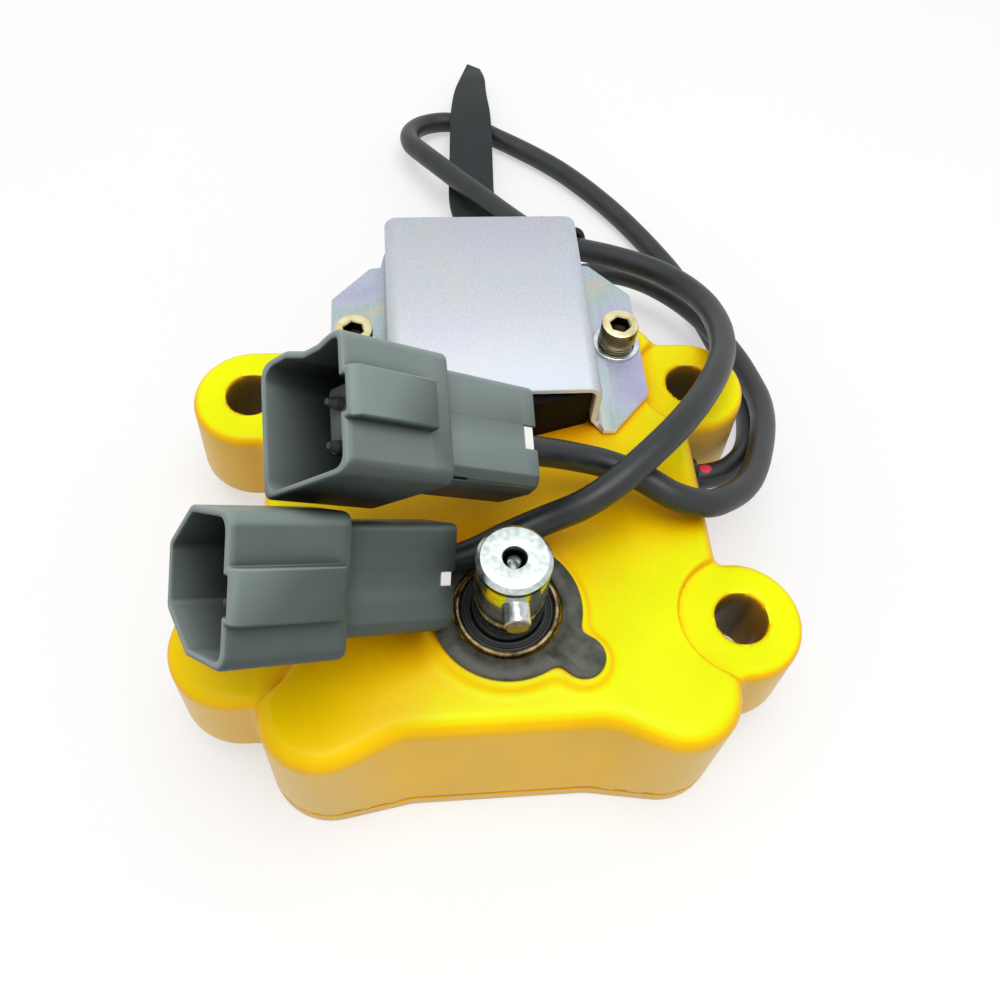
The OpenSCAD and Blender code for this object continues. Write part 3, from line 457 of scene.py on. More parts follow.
case_profile = [(9.2, 30.4), (9.2, 36.6), (9.5, 37.1), (10.1, 37.1), (SEAL_R, 36.6), (SEAL_R, SEAL_FOOT),
                (8, SEAL_FOOT), (8, 30.3)]
make("seal_case_ring", [spun(case_profile, 0.22, open_ends=False)], "seal_case", slot="bronze")
lip_profile = [(9.2, 30.4), (9.2, 36.2), (8.7, 36.5), (8.2, 36), (7.7, 36.6), (7.15, 36.3), (7.06, 35.4),
               (7.06, 35), (8, 34), (8, 31.8), (7.3, 31.2), (7.3, 30.4)]
make("seal_lip_ring", [spun(lip_profile, 0.25, open_ends=False)], "seal_lip", slot="rubber")

# %% Retainer plate
def ray_outline(field, angle, near, far):
    """Radius along each ray at which a field of x and y turns positive, by halving the gap."""
    low, high = np.full_like(angle, near), np.full_like(angle, far)
    for _ in range(40):
        middle = (low + high) / 2
        out = field(middle * np.cos(angle), middle * np.sin(angle)) > 0
        low, high = np.where(out, low, middle), np.where(out, middle, high)
    return low


PLATE_R, PLATE_BORE = 14.9, 10.8


def plate_field(x, y):
    """A disc and a lug with a soft inner corner between them."""
    return smooth_min(np.hypot(x, y) - PLATE_R, np.hypot(x - LUG[0], y - LUG[1]) - LUG[2], 3)


spread = np.linspace(-np.pi, np.pi, 360, endpoint=False)
lug_at = math.atan2(LUG[1], LUG[0])
angle = lug_at + spread - 0.8 * np.sin(spread)
edge = ray_outline(plate_field, angle, 9, 30)
inner = np.full_like(edge, PLATE_BORE)
radii = np.stack([edge - 0.15, edge, edge, edge - 0.25, inner + 0.2, inner, inner], -1)
levels = np.array([35.5, 35.7, 36.45, 36.7, 36.7, 36.5, 35.5])
plate_points = turned(radii, levels, angle[:, None])
plate_faces = grid_faces(len(angle), len(levels), True, True)
make("retainer_sheet", [(plate_points, plate_faces)], "retainer_plate", slot="black_steel", sharp=50)

# %% [markdown]
# ## Cable guard
# The guard is one folded sheet. Its section (flange, bend, wall, bend, top and back down) is a line
# in X and Z; the second parameter runs round the sheet's edge from the outer face to the inner one.
# The flange corners are cut at a slant, so the front and rear ends are functions of X.

# %% Cable guard
GUARD_X, GUARD_W, GUARD_H, SHEET, FLANGE_W, BEND = 0.8, 45.6, 13.8, 1.6, 13.0, 3.0
GUARD_FRONT, GUARD_REAR, FRONT_STEP, REAR_STEP, SOFT = 44.3, 96.3, 2.3, 4.3, 0.25


def guard_section(depth):
    """Half section at a depth into the sheet: top, outer bend, wall, foot bend and flange."""
    half, top, foot = GUARD_W / 2 - depth, GUARD_H - depth, SHEET - depth
    outer, lower = BEND - depth, BEND - SHEET + depth
    a = np.radians(np.linspace(90, 0, 9))
    b = np.radians(np.linspace(180, 270, 9))
    bend = np.stack([half - outer + outer * np.cos(a), top - outer + outer * np.sin(a)], -1)
    toe = np.stack([half + lower + lower * np.cos(b), foot + lower + lower * np.sin(b)], -1)
    flat = np.linspace(GUARD_W / 2 + 4, GUARD_W / 2 + FLANGE_W, 12)
    half_line = np.vstack([[0, top], bend, toe, np.stack([flat, foot + 0 * flat], -1)])
    return np.vstack([half_line[::-1] * [-1, 1], half_line[1:]])


sheet = np.array([guard_section(d) for d in (0, SOFT, SHEET - SOFT, SHEET)])
across = np.abs(guard_section(SHEET / 2)[:, 0])
wide = GUARD_W / 2 + FLANGE_W
on_flange = np.clip((across - GUARD_W / 2) / 1.5, 0, 1)
slant = np.maximum((across - (wide - 10)) * 12 / 11 - 1, 0)
front = GUARD_FRONT - FRONT_STEP * on_flange + slant
rear = GUARD_REAR - REAR_STEP * on_flange - slant
loop = [(0, front + 0.3), (0, rear - 0.3), (1, rear), (2, rear),
        (3, rear - 0.3), (3, front + 0.3), (2, front), (1, front)]
guard_points = np.stack([np.stack([sheet[d][:, 0] + GUARD_X, y, sheet[d][:, 1] + BODY_TOP], -1)
                         for d, y in loop], 1)
make("guard_sheet", [tube_of_rings(guard_points)], "cable_guard", slot="zinc", sharp=40)

# %% [markdown]
# ## Guard screws and washers
# A socket head is a turned head whose inner radius follows a hexagon: at each angle the wall of the
# socket is as far out as the hexagon's side. The split washer is a square section carried most of
# the way round while it climbs a little, which leaves the step that keeps the screw tight.

# %% Screws and washers
SCREWS = [(GUARD_X + side * 30.2, 66.5) for side in (-1, 1)]
SEAT, HEX_FLAT, HEX_TURN, SCREW_END = BODY_TOP + SHEET + 2.3, 2.05, 0.35, 23.0
angle = full_turn(96)
hexagon = HEX_FLAT / np.cos((angle + HEX_TURN) % (np.pi / 3) - np.pi / 6)
head = [(0, 2.1), (hexagon - 0.05, 2.2), (hexagon, 2.3), (hexagon, 4.65), (hexagon + 0.3, 5), (3.75, 5),
        (4.1, 4.88), (4.25, 4.5), (4.25, 0.3), (4.1, 0.05), (2.5, 0), (2.5, SCREW_END - SEAT),
        (0, SCREW_END - SEAT)]
radii = np.concatenate([r + 0 * angle for r, z in head], 1)
levels = SEAT + np.array([z for r, z in head])
screw_shell = (turned(radii, levels, angle), grid_faces(len(angle), len(head), True, False))
make("guard_screws_turned", [moved(screw_shell, (x, y, 0)) for x, y in SCREWS], "guard_screws",
     slot="gold_zinc", sharp=32)

turn = np.radians(np.linspace(-30, 318, 90))[:, None]
section = rounded([(2.65, 0), (4.35, 0), (4.35, 1.15), (2.65, 1.15)], 0.15, 3)
climb = np.linspace(0, 0.15, 90)[:, None]
coil = tube_of_rings(turned(section[:, 0], section[:, 1] + climb, turn))
make("split_washers", [moved(coil, (x, y, BODY_TOP + SHEET + 1)) for x, y in SCREWS], "spring_washers",
     slot="gold_zinc")

disc = spun([(2.7, 0), (5.5, 0), (5.5, 1), (2.7, 1)], 0.2, 96, open_ends=False)
make("plain_washers", [moved(disc, (x, y, BODY_TOP + SHEET)) for x, y in SCREWS], "flat_washers",
     slot="bright_steel")

# %% [markdown]
# ## Connectors
# Each connector is a moulded shroud with a narrower body behind it. Both are closed sections carried
# along the connector's axis. The upper shroud is square with one waisted side, the lower one has
# slanting feet, so that neither takes the other's plug. A hump on top hides the latch. The skin starts
# on the floor of the mouth, runs out to the rim, over it, and back along the outside.

# %% Connector shells
def inward(corners, depth):
    """Corners of an outline drawn in by a depth: each moves along the mean of its two sides' normals."""
    p = np.asarray(corners, float)
    side = unit(np.roll(p, -1, 0) - p)
    normal = np.stack([-side[:, 1], side[:, 0]], -1)
    before = np.roll(normal, 1, 0)
    return p + depth * (before + normal) / (1 + (before * normal).sum(1))[:, None]


SHROUD_TOP, THIN = 11.8, 0.02
HUMP_RADII = (0.3, 0.5, 0.5, 0.3)


def with_hump(left, right, middle, half, hump, foot, radii, inset):
    """Outline that runs up the right side, over the hump, down the left and along the foot, drawn in and
    rounded. A hump or slot that is absent stays as a thin step, so that all sections have equal points."""
    crest = SHROUD_TOP + max(hump, THIN)
    over = [(middle + half, SHROUD_TOP), (middle + half, crest), (middle - half, crest),
            (middle - half, SHROUD_TOP)]
    return rounded(inward(right + over + left + foot, inset), radii, 6)


def shroud(which, hump, inset=0.0):
    """Section across a shroud, seen from its mouth: across to the right, up from its axis."""
    if which == "upper":
        return with_hump([(-11.7, SHROUD_TOP), (-11.8, -12.2)],
                         [(12.3, -4), (10.7, 1.2), (10.7, 5.4), (11.5, 8.6), (11.4, SHROUD_TOP)],
                         0.9, 4.2, hump, [(12.2, -12.2)],
                         [4, 4, 4, 4, 2.4, *HUMP_RADII, 2.6, 2.2, 3.4], inset)
    return with_hump([(-12.8, SHROUD_TOP), (-12.4, -2.4), (-5.6, -11)], [(12.3, -2.6), (12.3, SHROUD_TOP)],
                     -0.9, 4.5, hump, [(5.6, -11)], [2.2, 2.6, *HUMP_RADII, 2.6, 2.2, 1.8, 1.8], inset)


def tail(notch, slot=(0, 0), inset=0.0, half=2.2):
    """Section across the body behind: a notch for the lock on top and a slot in each side."""
    wide, top = 10.2, 8.4
    floor = top - max(notch, THIN)
    right, left = np.maximum(slot, THIN)
    corners = [(7.7, -5.4), (wide, -2.9), (wide, 4.6), (wide - right, 4.7), (wide - right, 5.3), (wide, 5.4),
               (wide, top), (half, top), (half, floor), (-half, floor), (-half, top),
               (-7.4, top), (-9.1, 7.6), (0.8 * left - 9.1, 7.6 - 0.6 * left),
               (0.8 * left - 9.5, 7.0 - 0.6 * left), (-9.5, 7.0), (-wide, 5.2), (-wide, -2.9), (-7.7, -5.4)]
    cut = [0.1, 0.05, 0.05, 0.1]
    radii = [1.5, 1.5, *cut, 3, 0.2, 0.1, 0.1, 0.2, 1.5, *cut, 1.5, 1.5, 1.5]
    return rounded(inward(corners, inset), radii, 6)


def skin(stations):
    """Shell through sections (points across and up) at stations along the connector."""
    rings = np.stack([np.column_stack([np.full(len(s), u), s]) for u, s in stations])
    return tube_of_rings(rings)


# %% Connector pieces
WALL, HUMP, RIM_HUMP, NOTCH, FLOOR_AT = 1.35, 2.4, 1.5, 1.3, 18
TOWER = [(-4.6, -5), (7.2, -5), (7.2, 8), (-4.6, 8)]
for which, hump_end, slots, slot_end, half in (("upper", 17.2, (0, 1.6), 28.5, 2.2),
                                               ("lower", 20, (1.6, 0), 41, 1.3)):
    rim, mouth = shroud(which, RIM_HUMP), shroud(which, RIM_HUMP, WALL)
    edge = [(u, rim * q + mouth * (1 - q)) for u, q in
            ((0.5, 0), (0.12, 0.12), (0, 0.35), (0, 0.65), (0.12, 0.88), (0.4, 1))]
    outside = [(u, shroud(which, hump, inset)) for u, hump, inset in
               ((1.5, HUMP, 0), (hump_end - 0.5, HUMP, 0), (hump_end - 0.1, HUMP - 0.3, 0),
                (hump_end + 0.05, 0, 0), (21.2, 0, 0), (21.75, 0, 0.2), (22, 0, 0.7))]
    front = skin([(FLOOR_AT, mouth)] + edge + outside)
    slotted = [(21, tail(0, slots)), (slot_end, tail(0, slots)), (slot_end + 0.2, tail(0))]
    notched = [(u, tail(notch, (0, 0), inset, half)) for u, notch, inset in
               ((42.9, 0, 0), (43.05, NOTCH, 0), (45.9, NOTCH, 0), (46.35, NOTCH, 0.12), (46.5, NOTCH, 0.4))]
    rear = [(u, tail(0, (0, 0), inset)) for u, inset in ((46.5, 1.2), (46.3, 1.5), (45.85, 1.6))]
    tower = skin([(u, rounded(inward(TOWER, inset), 1, 6)) for u, inset in
                  ((18.2, 0), (9.4, 0), (9, 0.15), (8.9, 0.5))])
    shells = [(in_connector(which, points.reshape(-1, 3)), faces)
              for points, faces in (front, skin(slotted + notched + rear), tower)]
    make(which + "_connector_moulding", shells, which + "_connector_shell", slot="grey_plastic", sharp=40)

# %% [markdown]
# ## Nylon tie
# A wide strap holds the motor lead behind the guard, and its pointed tail stands out to the rear.
# The tail is a flat section with soft edges, carried along a line while its width changes; the loop
# is the same section carried round the lead.

# %% Nylon tie
TIE_T = 1.6
tail_line = np.array([[22.5, 118, 13.2, 5, 0], [17.5, 123, 10.4, 6, 0], [10.5, 129, 8.4, 6.6, 0],
                      [4.6, 136, 7.4, 6.8, 0], [3, 146, 6.9, 6.8, 0], [3.8, 160, 6.8, 6.7, 0],
                      [4.6, 174, 7, 6.6, 0], [5.2, 186, 7.1, 6.4, 0], [5.8, 198, 6, 5.2, 0.4],
                      [7.6, 208, 4.6, 3.8, 0.8], [8.2, 215.8, 2.8, 2.1, 1.3]])
fine = np.linspace(0, len(tail_line) - 1, 80)
strap = np.stack([np.interp(fine, np.arange(len(tail_line)), column) for column in tail_line.T], -1)
strap[3:-3] = np.stack([np.convolve(column, np.ones(7) / 7, "valid") for column in strap.T], -1)
flat = rounded([(-1, 0), (1, 0), (1, TIE_T), (-1, TIE_T)], 0.06, 3)
strap_rings = np.stack([strap[:, :1] + strap[:, 3:4] * flat[:, 0],
                        strap[:, 1:2] - strap[:, 4:] * flat[:, 0], strap[:, 2:3] + flat[:, 1]], -1)
round_lead = full_turn(48)
band = rounded([(3.85, -6.5), (5.45, -6.5), (5.45, 6.5), (3.85, 6.5)], 0.3, 3)
LOOP_AT = np.array([23.7, 116.5, 19.9])
rise, heading = np.radians([18.3, 42.5])
along = np.array([math.cos(rise) * math.sin(heading), -math.cos(rise) * math.cos(heading), math.sin(rise)])
beside = np.array([math.cos(heading), math.sin(heading), 0])
upright = np.cross(beside, along)
loop_rings = (LOOP_AT + band[None, :, 1:] * along + band[None, :, :1]
              * (np.cos(round_lead)[..., None] * beside + np.sin(round_lead)[..., None] * upright))
tie = make("tie_strap", [tube_of_rings(strap_rings), tube_of_rings(loop_rings, closed=True)], "cable_tie",
           slot="black_plastic", sharp=50)

# %% Pieces on each lead, gathered in lists
for lead, route, length, which in leads.values():
    on_it = [nodes[f"{which}_connector_{part}"] for part in ("pins", "lock", "seal")]
    on_it.append(bpy.data.objects[which + "_connector_moulding"])
    if which == "lower":
        on_it.append(tie)
print("leads declared:", [round(leads[n][2]) for n in leads], "mm")

# %% [markdown]
# ## Finishes
# Every finish is a Principled shader fed by shared groups. "Mottle" mixes two colours and two roughness
# values by soft noise, so that no surface is one flat tone. "Skin" turns noise into a small bump. "Nook" says
# how open a point is to its surroundings, and the finishes use it to paint shade into nooks. All places are
# Object coordinates, which here are metres in the part's own frame.

# %% Node helpers
def srgb(r, g, b):
    """Colour as it is seen in a picture (0 to 255), as the linear values that a shader wants."""
    c = np.array([r, g, b]) / 255
    return (*np.where(c <= 0.04045, c / 12.92, ((c + 0.055) / 1.055) ** 2.4).tolist(), 1.0)


def add(tree, kind, inputs=None, **settings):
    """One shader node with its settings; each input is a value, or a socket that feeds it."""
    node = tree.nodes.new("ShaderNode" + kind)
    for key, value in settings.items():
        setattr(node, key, value)
    for key, value in (inputs or {}).items():
        if isinstance(value, bpy.types.NodeSocket):
            tree.links.new(value, node.inputs[key])
        else:
            node.inputs[key].default_value = value
    return node


def ramp(tree, source, stops):
    """Colour ramp with its stops given as (place, colour)."""
    node = add(tree, "ValToRGB", {"Fac": source})
    while len(node.color_ramp.elements) < len(stops):
        node.color_ramp.elements.new(0.5)
    for element, (place, colour) in zip(node.color_ramp.elements, stops):
        element.position = place
        element.color = colour
    return node.outputs["Color"]


def remap(tree, value, start, end, low=0.0, high=1.0, kind="LINEAR"):
    """A value carried from one range to another and held at the ends."""
    ends = {"From Min": start, "From Max": end, "To Min": low, "To Max": high}
    return add(tree, "MapRange", {"Value": value, **ends}, interpolation_type=kind).outputs["Result"]


def blend(tree, share, first, second, how="MIX"):
    """Two colours put together: the share says how much of the second one counts."""
    return add(tree, "Mix", {0: share, 6: first, 7: second}, data_type="RGBA", blend_type=how).outputs[2]


def math_node(tree, operation, first, second):
    """Sum, product or other operation on two numbers."""
    return add(tree, "Math", {0: first, 1: second}, operation=operation).outputs[0]


def here(tree):
    """The point in the part's own frame, in metres."""
    return add(tree, "TexCoord").outputs["Object"]


def normal(tree):
    """The way that the face looks."""
    return add(tree, "NewGeometry").outputs["Normal"]


def split(tree, vector):
    """The X, Y and Z of a vector."""
    return add(tree, "SeparateXYZ", {"Vector": vector}).outputs


def new_group(name, inputs, outputs):
    """Empty shader group with named sockets; returns its tree, its input sockets and its output node."""
    tree = bpy.data.node_groups.new(name, "ShaderNodeTree")
    for label, kind, value in inputs:
        socket = tree.interface.new_socket(label, in_out="INPUT", socket_type="NodeSocket" + kind)
        socket.default_value = value
    for label, kind in outputs:
        tree.interface.new_socket(label, in_out="OUTPUT", socket_type="NodeSocket" + kind)
    return tree, tree.nodes.new("NodeGroupInput").outputs, tree.nodes.new("NodeGroupOutput")


# %% Shared groups
mottle, given, result = new_group(
    "mottle", [("Scale", "Float", 200.0), ("Detail", "Float", 4.0), ("Low", "Color", (0, 0, 0, 1)),
               ("High", "Color", (1, 1, 1, 1)), ("Low Rough", "Float", 0.3), ("High Rough", "Float", 0.5)],
    [("Color", "Color"), ("Roughness", "Float")])
noise = add(mottle, "TexNoise", {"Vector": here(mottle), "Scale": given["Scale"], "Detail": given["Detail"]})
share = remap(mottle, noise.outputs["Fac"], 0.3, 0.7)
gloss = add(mottle, "Mix", {0: share, 2: given["Low Rough"], 3: given["High Rough"]}, data_type="FLOAT")
mottle.links.new(blend(mottle, share, given["Low"], given["High"]), result.inputs["Color"])
mottle.links.new(gloss.outputs[0], result.inputs["Roughness"])

skin_group, given, result = new_group(
    "skin", [("Scale", "Float", 800.0), ("Depth", "Float", 0.0001), ("Strength", "Float", 0.3)],
    [("Normal", "Vector")])
noise = add(skin_group, "TexNoise", {"Vector": here(skin_group), "Scale": given["Scale"], "Detail": 3.0})
bump = add(skin_group, "Bump", {"Height": noise.outputs["Fac"], "Distance": given["Depth"],
                                "Strength": given["Strength"]})
skin_group.links.new(bump.outputs["Normal"], result.inputs["Normal"])

nook, given, result = new_group("nook", [("Distance", "Float", 0.02)], [("Open", "Float")])
sight = add(nook, "AmbientOcclusion", {"Distance": given["Distance"]}, samples=8)
nook.links.new(sight.outputs["AO"], result.inputs["Open"])
print("groups:", [g.name for g in bpy.data.node_groups])


# %% Finish maker
def finish(name, low, high, rough, scale=300, skin_scale=900, depth=0.0001, strength=0.25, detail=4, **plain):
    """Material from two tones, a roughness range and a skin; plain values go on the shader itself."""
    material = bpy.data.materials.new(name)
    material.use_nodes = True
    tree = material.node_tree
    shader = tree.nodes["Principled BSDF"]
    for key, value in plain.items():
        shader.inputs[key.replace("_", " ")].default_value = value
    tones = add(tree, "Group", node_tree=mottle)
    labels = ("Scale", "Detail", "Low", "High", "Low Rough", "High Rough")
    for key, value in zip(labels, (scale, detail, low, high, *rough)):
        tones.inputs[key].default_value = value
    relief = add(tree, "Group", node_tree=skin_group)
    for key, value in zip(("Scale", "Depth", "Strength"), (skin_scale, depth, strength)):
        relief.inputs[key].default_value = value
    tree.links.new(tones.outputs["Color"], shader.inputs["Base Color"])
    tree.links.new(tones.outputs["Roughness"], shader.inputs["Roughness"])
    tree.links.new(relief.outputs["Normal"], shader.inputs["Normal"])
    return material, tree, shader, tones.outputs


def open_sky(tree, distance):
    """How open a point is, 0 to 1, to what lies within a distance in metres."""
    group = add(tree, "Group", node_tree=nook)
    group.inputs["Distance"].default_value = distance
    return group.outputs["Open"]


def shaded(tree, shader, tones, *shades):
    """Base colour: the mottled tones multiplied by each shade in turn."""
    colour = tones["Color"]
    for shade in shades:
        colour = blend(tree, 1.0, colour, shade, "MULTIPLY")
    tree.links.new(colour, shader.inputs["Base Color"])


def wear(material, *names):
    """Gives pieces and solids a material."""
    for name in names:
        thing = bpy.data.objects.get(name) or nodes[name]
        thing.data.materials.clear()
        thing.data.materials.append(material)
    print(f"{material.name}: {len(material.node_tree.nodes)} nodes, worn by {', '.join(names)}")


WHITE = srgb(255, 255, 255)

# %% [markdown]
# ### Yellow paint
# The paint is thick and glossy. On open level faces it is a clear lemon yellow. The rest carries painted
# shade: fillets and nooks are painted a warmer orange, down to brown deep in the nooks, and the drafted walls
# a darker sand. The tilt of the face picks the wall's shade, and the nook group finds the nooks. The left
# front lobe gets a painted shadow of the connectors above it, in warmer tones.

# %% Yellow paint
paint, tree, shader, tones = finish("yellow_paint", srgb(243, 243, 238), WHITE, (0.25, 0.4), 60, 420,
                                    0.0004, 0.18, Coat_Roughness=0.2, Specular_IOR_Level=0.08)
point = here(tree)
at, look = split(tree, point), split(tree, normal(tree))
openness = open_sky(tree, 0.06)
# Painted shade by tilt: the steeper a face, the sandier and darker its tone, with orange on the fillets.
tilt_painted_shade = ramp(tree, look["Z"], [(0.0, srgb(222, 184, 92)), (0.25, srgb(238, 184, 26)),
                                   (0.7, srgb(255, 200, 0))])
# Painted shade in nooks: the less open a point is, the more orange its tone, down to brown.
nook_painted_shade_stops = [(0.08, srgb(60, 30, 0)), (0.28, srgb(220, 130, 0))]
top_tone_and_painted_shade = ramp(tree, openness, nook_painted_shade_stops + [(0.46, srgb(255, 184, 0)), (0.63, srgb(255, 212, 0)),
                                          (0.78, srgb(246, 252, 0))])
# Painted shadow of the connectors on the left front lobe: there the open faces take warmer, oranger tones.
lobe_painted_shadow_tone = ramp(tree, openness, nook_painted_shade_stops + [(0.46, srgb(255, 190, 0)), (0.63, srgb(255, 210, 0))])
lobe_shadow_left = remap(tree, at["X"], -0.012, -0.024, kind="SMOOTHSTEP")
lobe_shadow_front = remap(tree, at["Y"], 0.012, 0.0, high=0.9, kind="SMOOTHSTEP")
lobe_painted_shadow = math_node(tree, "MULTIPLY", lobe_shadow_left, lobe_shadow_front)
level_face = remap(tree, look["Z"], 0.72, 0.97)
tones_and_painted_shade = blend(tree, level_face, tilt_painted_shade, blend(tree, lobe_painted_shadow, top_tone_and_painted_shade, lobe_painted_shadow_tone))
varied = blend(tree, 1.0, tones_and_painted_shade, tones["Color"], "MULTIPLY")

# %% [markdown]
# The ear holes are painted dark as painted shade, darker with depth. Folded about the middle of the four, one
# distance finds them all. Their right walls get a painted light of lighter orange-brown, and the clear coat
# stops at their edges.

# %% Bored ear holes
ear_middle = np.mean([ear[:2] for ear in EARS], 0) * MM
ear_reach = np.array(EARS[-1][:2]) * MM - ear_middle
to_hole = point
for operation, other in (("SUBTRACT", (*ear_middle, 0)), ("ABSOLUTE", None), ("SUBTRACT", (*ear_reach, 0)),
                         ("MULTIPLY", (1, 1, 0)), ("LENGTH", None)):
    fold = add(tree, "VectorMath", {0: to_hole, 1: other} if other else {0: to_hole}, operation=operation)
    to_hole = fold.outputs["Value" if operation == "LENGTH" else "Vector"]
hole_edge = ((HOLE_R - 0.1) * MM, (HOLE_R + 0.3) * MM)
bored = remap(tree, to_hole, *hole_edge, 1.0, 0.0)
# Painted shade in the bores: orange-brown at the rim, near black further down.
bore_painted_shade = ramp(tree, remap(tree, at["Z"], 0.021, EAR_TOP * MM), [
    (0.3, srgb(7, 6, 4)), (0.62, srgb(34, 21, 3)), (1.0, srgb(150, 98, 4))])
# Painted light on the bores' right walls, which face the light: a lighter orange-brown.
right_wall = remap(tree, look["X"], -0.62, -0.82, high=0.9)
bore_painted_light_and_shade = blend(tree, right_wall, bore_painted_shade, srgb(168, 112, 6))
tree.links.new(blend(tree, bored, varied, bore_painted_light_and_shade), shader.inputs["Base Color"])
tree.links.new(remap(tree, to_hole, *hole_edge, high=0.08), shader.inputs["Coat Weight"])
wear(paint, "housing_casting", "base_cover", "cover_gasket")

# %% [markdown]
# ### Steel and bronze
# The shaft is ground bright on its side and left a little rough on its end face. A dark band on its side
# under the rim is a painted reflection, and its centre hole is painted darker as painted shade. Those are
# bands in height and in distance from the axis, so the shaft's own coordinates pick them. The pin's end is
# brown. The screws are pale on top; painted shade darkens their sides and turns their sockets nearly black.
# The other metals are plain mottled tones.

# %% Shaft steel
shaft_steel, tree, shader, tones = finish("shaft_steel", srgb(196, 204, 202), srgb(246, 248, 247),
                                          (0.3, 0.46), 900, 1800, 0.00005, 0.2, Metallic=1.0)
point = here(tree)
height = split(tree, point)["Z"]
# Painted reflection: a dark band on the side just under the rim.
side_tone_and_painted_reflection = ramp(tree, remap(tree, height, 0.05, 0.0575), [
    (0.0, srgb(214, 212, 200)), (0.7, srgb(220, 218, 208)), (0.74, srgb(40, 42, 40)),
    (0.84, srgb(52, 54, 52)), (0.88, srgb(228, 232, 230)), (0.97, srgb(226, 232, 230))])
flat = add(tree, "VectorMath", {0: point, 1: (1, 1, 0)}, operation="MULTIPLY").outputs["Vector"]
off_axis = add(tree, "VectorMath", {0: flat}, operation="LENGTH").outputs["Value"]
# Painted shade: the centre hole is darker than the end face.
hole_painted_shade = ramp(tree, remap(tree, off_axis, 0.0018, 0.0024), [
    (0.0, srgb(168, 172, 170)), (0.6, srgb(150, 154, 152)), (1.0, WHITE)])
shaded(tree, shader, tones, side_tone_and_painted_reflection, hole_painted_shade)
polish = math_node(tree, "MULTIPLY", remap(tree, height, 0.0565, 0.0574, low=0.3), tones["Roughness"])
tree.links.new(polish, shader.inputs["Roughness"])
wear(shaft_steel, "shaft_ground")

# %% Pin steel
pin_steel, tree, shader, tones = finish("pin_steel", srgb(176, 180, 180), srgb(232, 235, 234), (0.22, 0.34),
                                        700, 1500, 0.00005, 0.15, Metallic=1.0)
sheared = remap(tree, split(tree, here(tree))["Y"], -0.0109, -0.0104)
shaded(tree, shader, tones, ramp(tree, sheared, [(0.0, srgb(146, 118, 92)), (1.0, WHITE)]))
wear(pin_steel, "cross_pin_turned")

# %% Screw plating
gold, tree, shader, tones = finish("yellow_zinc", srgb(206, 192, 142), srgb(246, 236, 192), (0.2, 0.36), 260,
                                   Metallic=1.0)
# Painted shade: the heads' sides are darker than their tops, and the sockets nearly black.
side_painted_shade = ramp(tree, split(tree, normal(tree))["Z"], [(0.1, srgb(132, 122, 98)), (0.8, WHITE)])
socket_painted_shade = ramp(tree, open_sky(tree, 0.004), [(0.35, srgb(40, 34, 20)), (0.8, WHITE)])
shaded(tree, shader, tones, side_painted_shade, socket_painted_shade)
wear(gold, "guard_screws_turned", "split_washers")

# %% Other metals
steel, *_ = finish("ground_steel", srgb(196, 199, 203), srgb(236, 238, 240), (0.16, 0.28), 500, 1500,
                   0.00005, 0.15, Metallic=1.0)
wear(steel, "plain_washers", "gear_key")
dark, *_ = finish("blackened_steel", srgb(52, 54, 48), srgb(90, 92, 82), (0.4, 0.62), 420, 2200,
                  0.0001, 0.3, Metallic=0.35)
wear(dark, "retainer_sheet", "cover_screws", "sector_gear", "shaft_circlip", "motor_rotor",
     "upper_connector_pins", "lower_connector_pins")
bronze, *_ = finish("seal_bronze", srgb(62, 52, 36), srgb(168, 148, 108), (0.18, 0.36), 420, Metallic=1.0)
wear(bronze, "seal_case_ring", "upper_bush", "lower_bush", "thrust_washer", "motor_stator", "motor_pinion",
     "sensor_wiper")

# %% [markdown]
# ### Bright zinc
# Zinc plate has a fine frosty grain, and its clear passivation shows faint colours: lavender, green
# and straw, most of all on the flanges. A slow noise walks through those tints and fades with height.
# Faces that look forward carry a painted highlight: they are near white and lose the plate's mirror.

# %% Bright zinc
zinc, tree, shader, tones = finish("bright_zinc", srgb(190, 195, 204), srgb(209, 214, 222), (0.5, 0.62),
                                   2200, 2600, 0.00005, 0.2, detail=2)
point = here(tree)
slow = add(tree, "TexNoise", {"Vector": point, "Scale": 34.0, "Detail": 2.0, "Distortion": 0.6})
tints = ramp(tree, slow.outputs["Fac"], [
    (0.3, srgb(214, 205, 236)), (0.42, srgb(224, 228, 236)), (0.5, srgb(208, 228, 216)),
    (0.58, srgb(234, 228, 204)), (0.7, srgb(230, 208, 228))])
fade = remap(tree, split(tree, point)["Z"], 0.036, 0.046, 0.9, 0.22)
tinted = blend(tree, fade, tones["Color"], tints, "MULTIPLY")
forward_look = split(tree, normal(tree))["Y"]
# Painted highlight: faces that look forward turn near white and less mirror-like.
front_painted_highlight = remap(tree, forward_look, -0.75, -0.5, 1.0, 0.0)
tree.links.new(blend(tree, front_painted_highlight, tinted, srgb(253, 253, 253)), shader.inputs["Base Color"])
tree.links.new(remap(tree, forward_look, -0.75, -0.5, high=0.5), shader.inputs["Metallic"])
wear(zinc, "guard_sheet", "motor_can")

# %% [markdown]
# ### Plastics and rubber
# The grey mouldings carry painted light: the tone follows how far a face turns up and back, towards the
# light, paler that way and darker away from it, and the nooks inside the mouths have painted shade. The leads
# are soft black rubber; a nick by the grommet shows a red core, which is a small ball of colour round one
# point.

# %% Grey mouldings
grey, tree, shader, tones = finish("grey_moulding", srgb(240, 242, 241), WHITE, (0.42, 0.55), 120, 3000,
                                   0.00004, 0.2, Specular_IOR_Level=0.35)
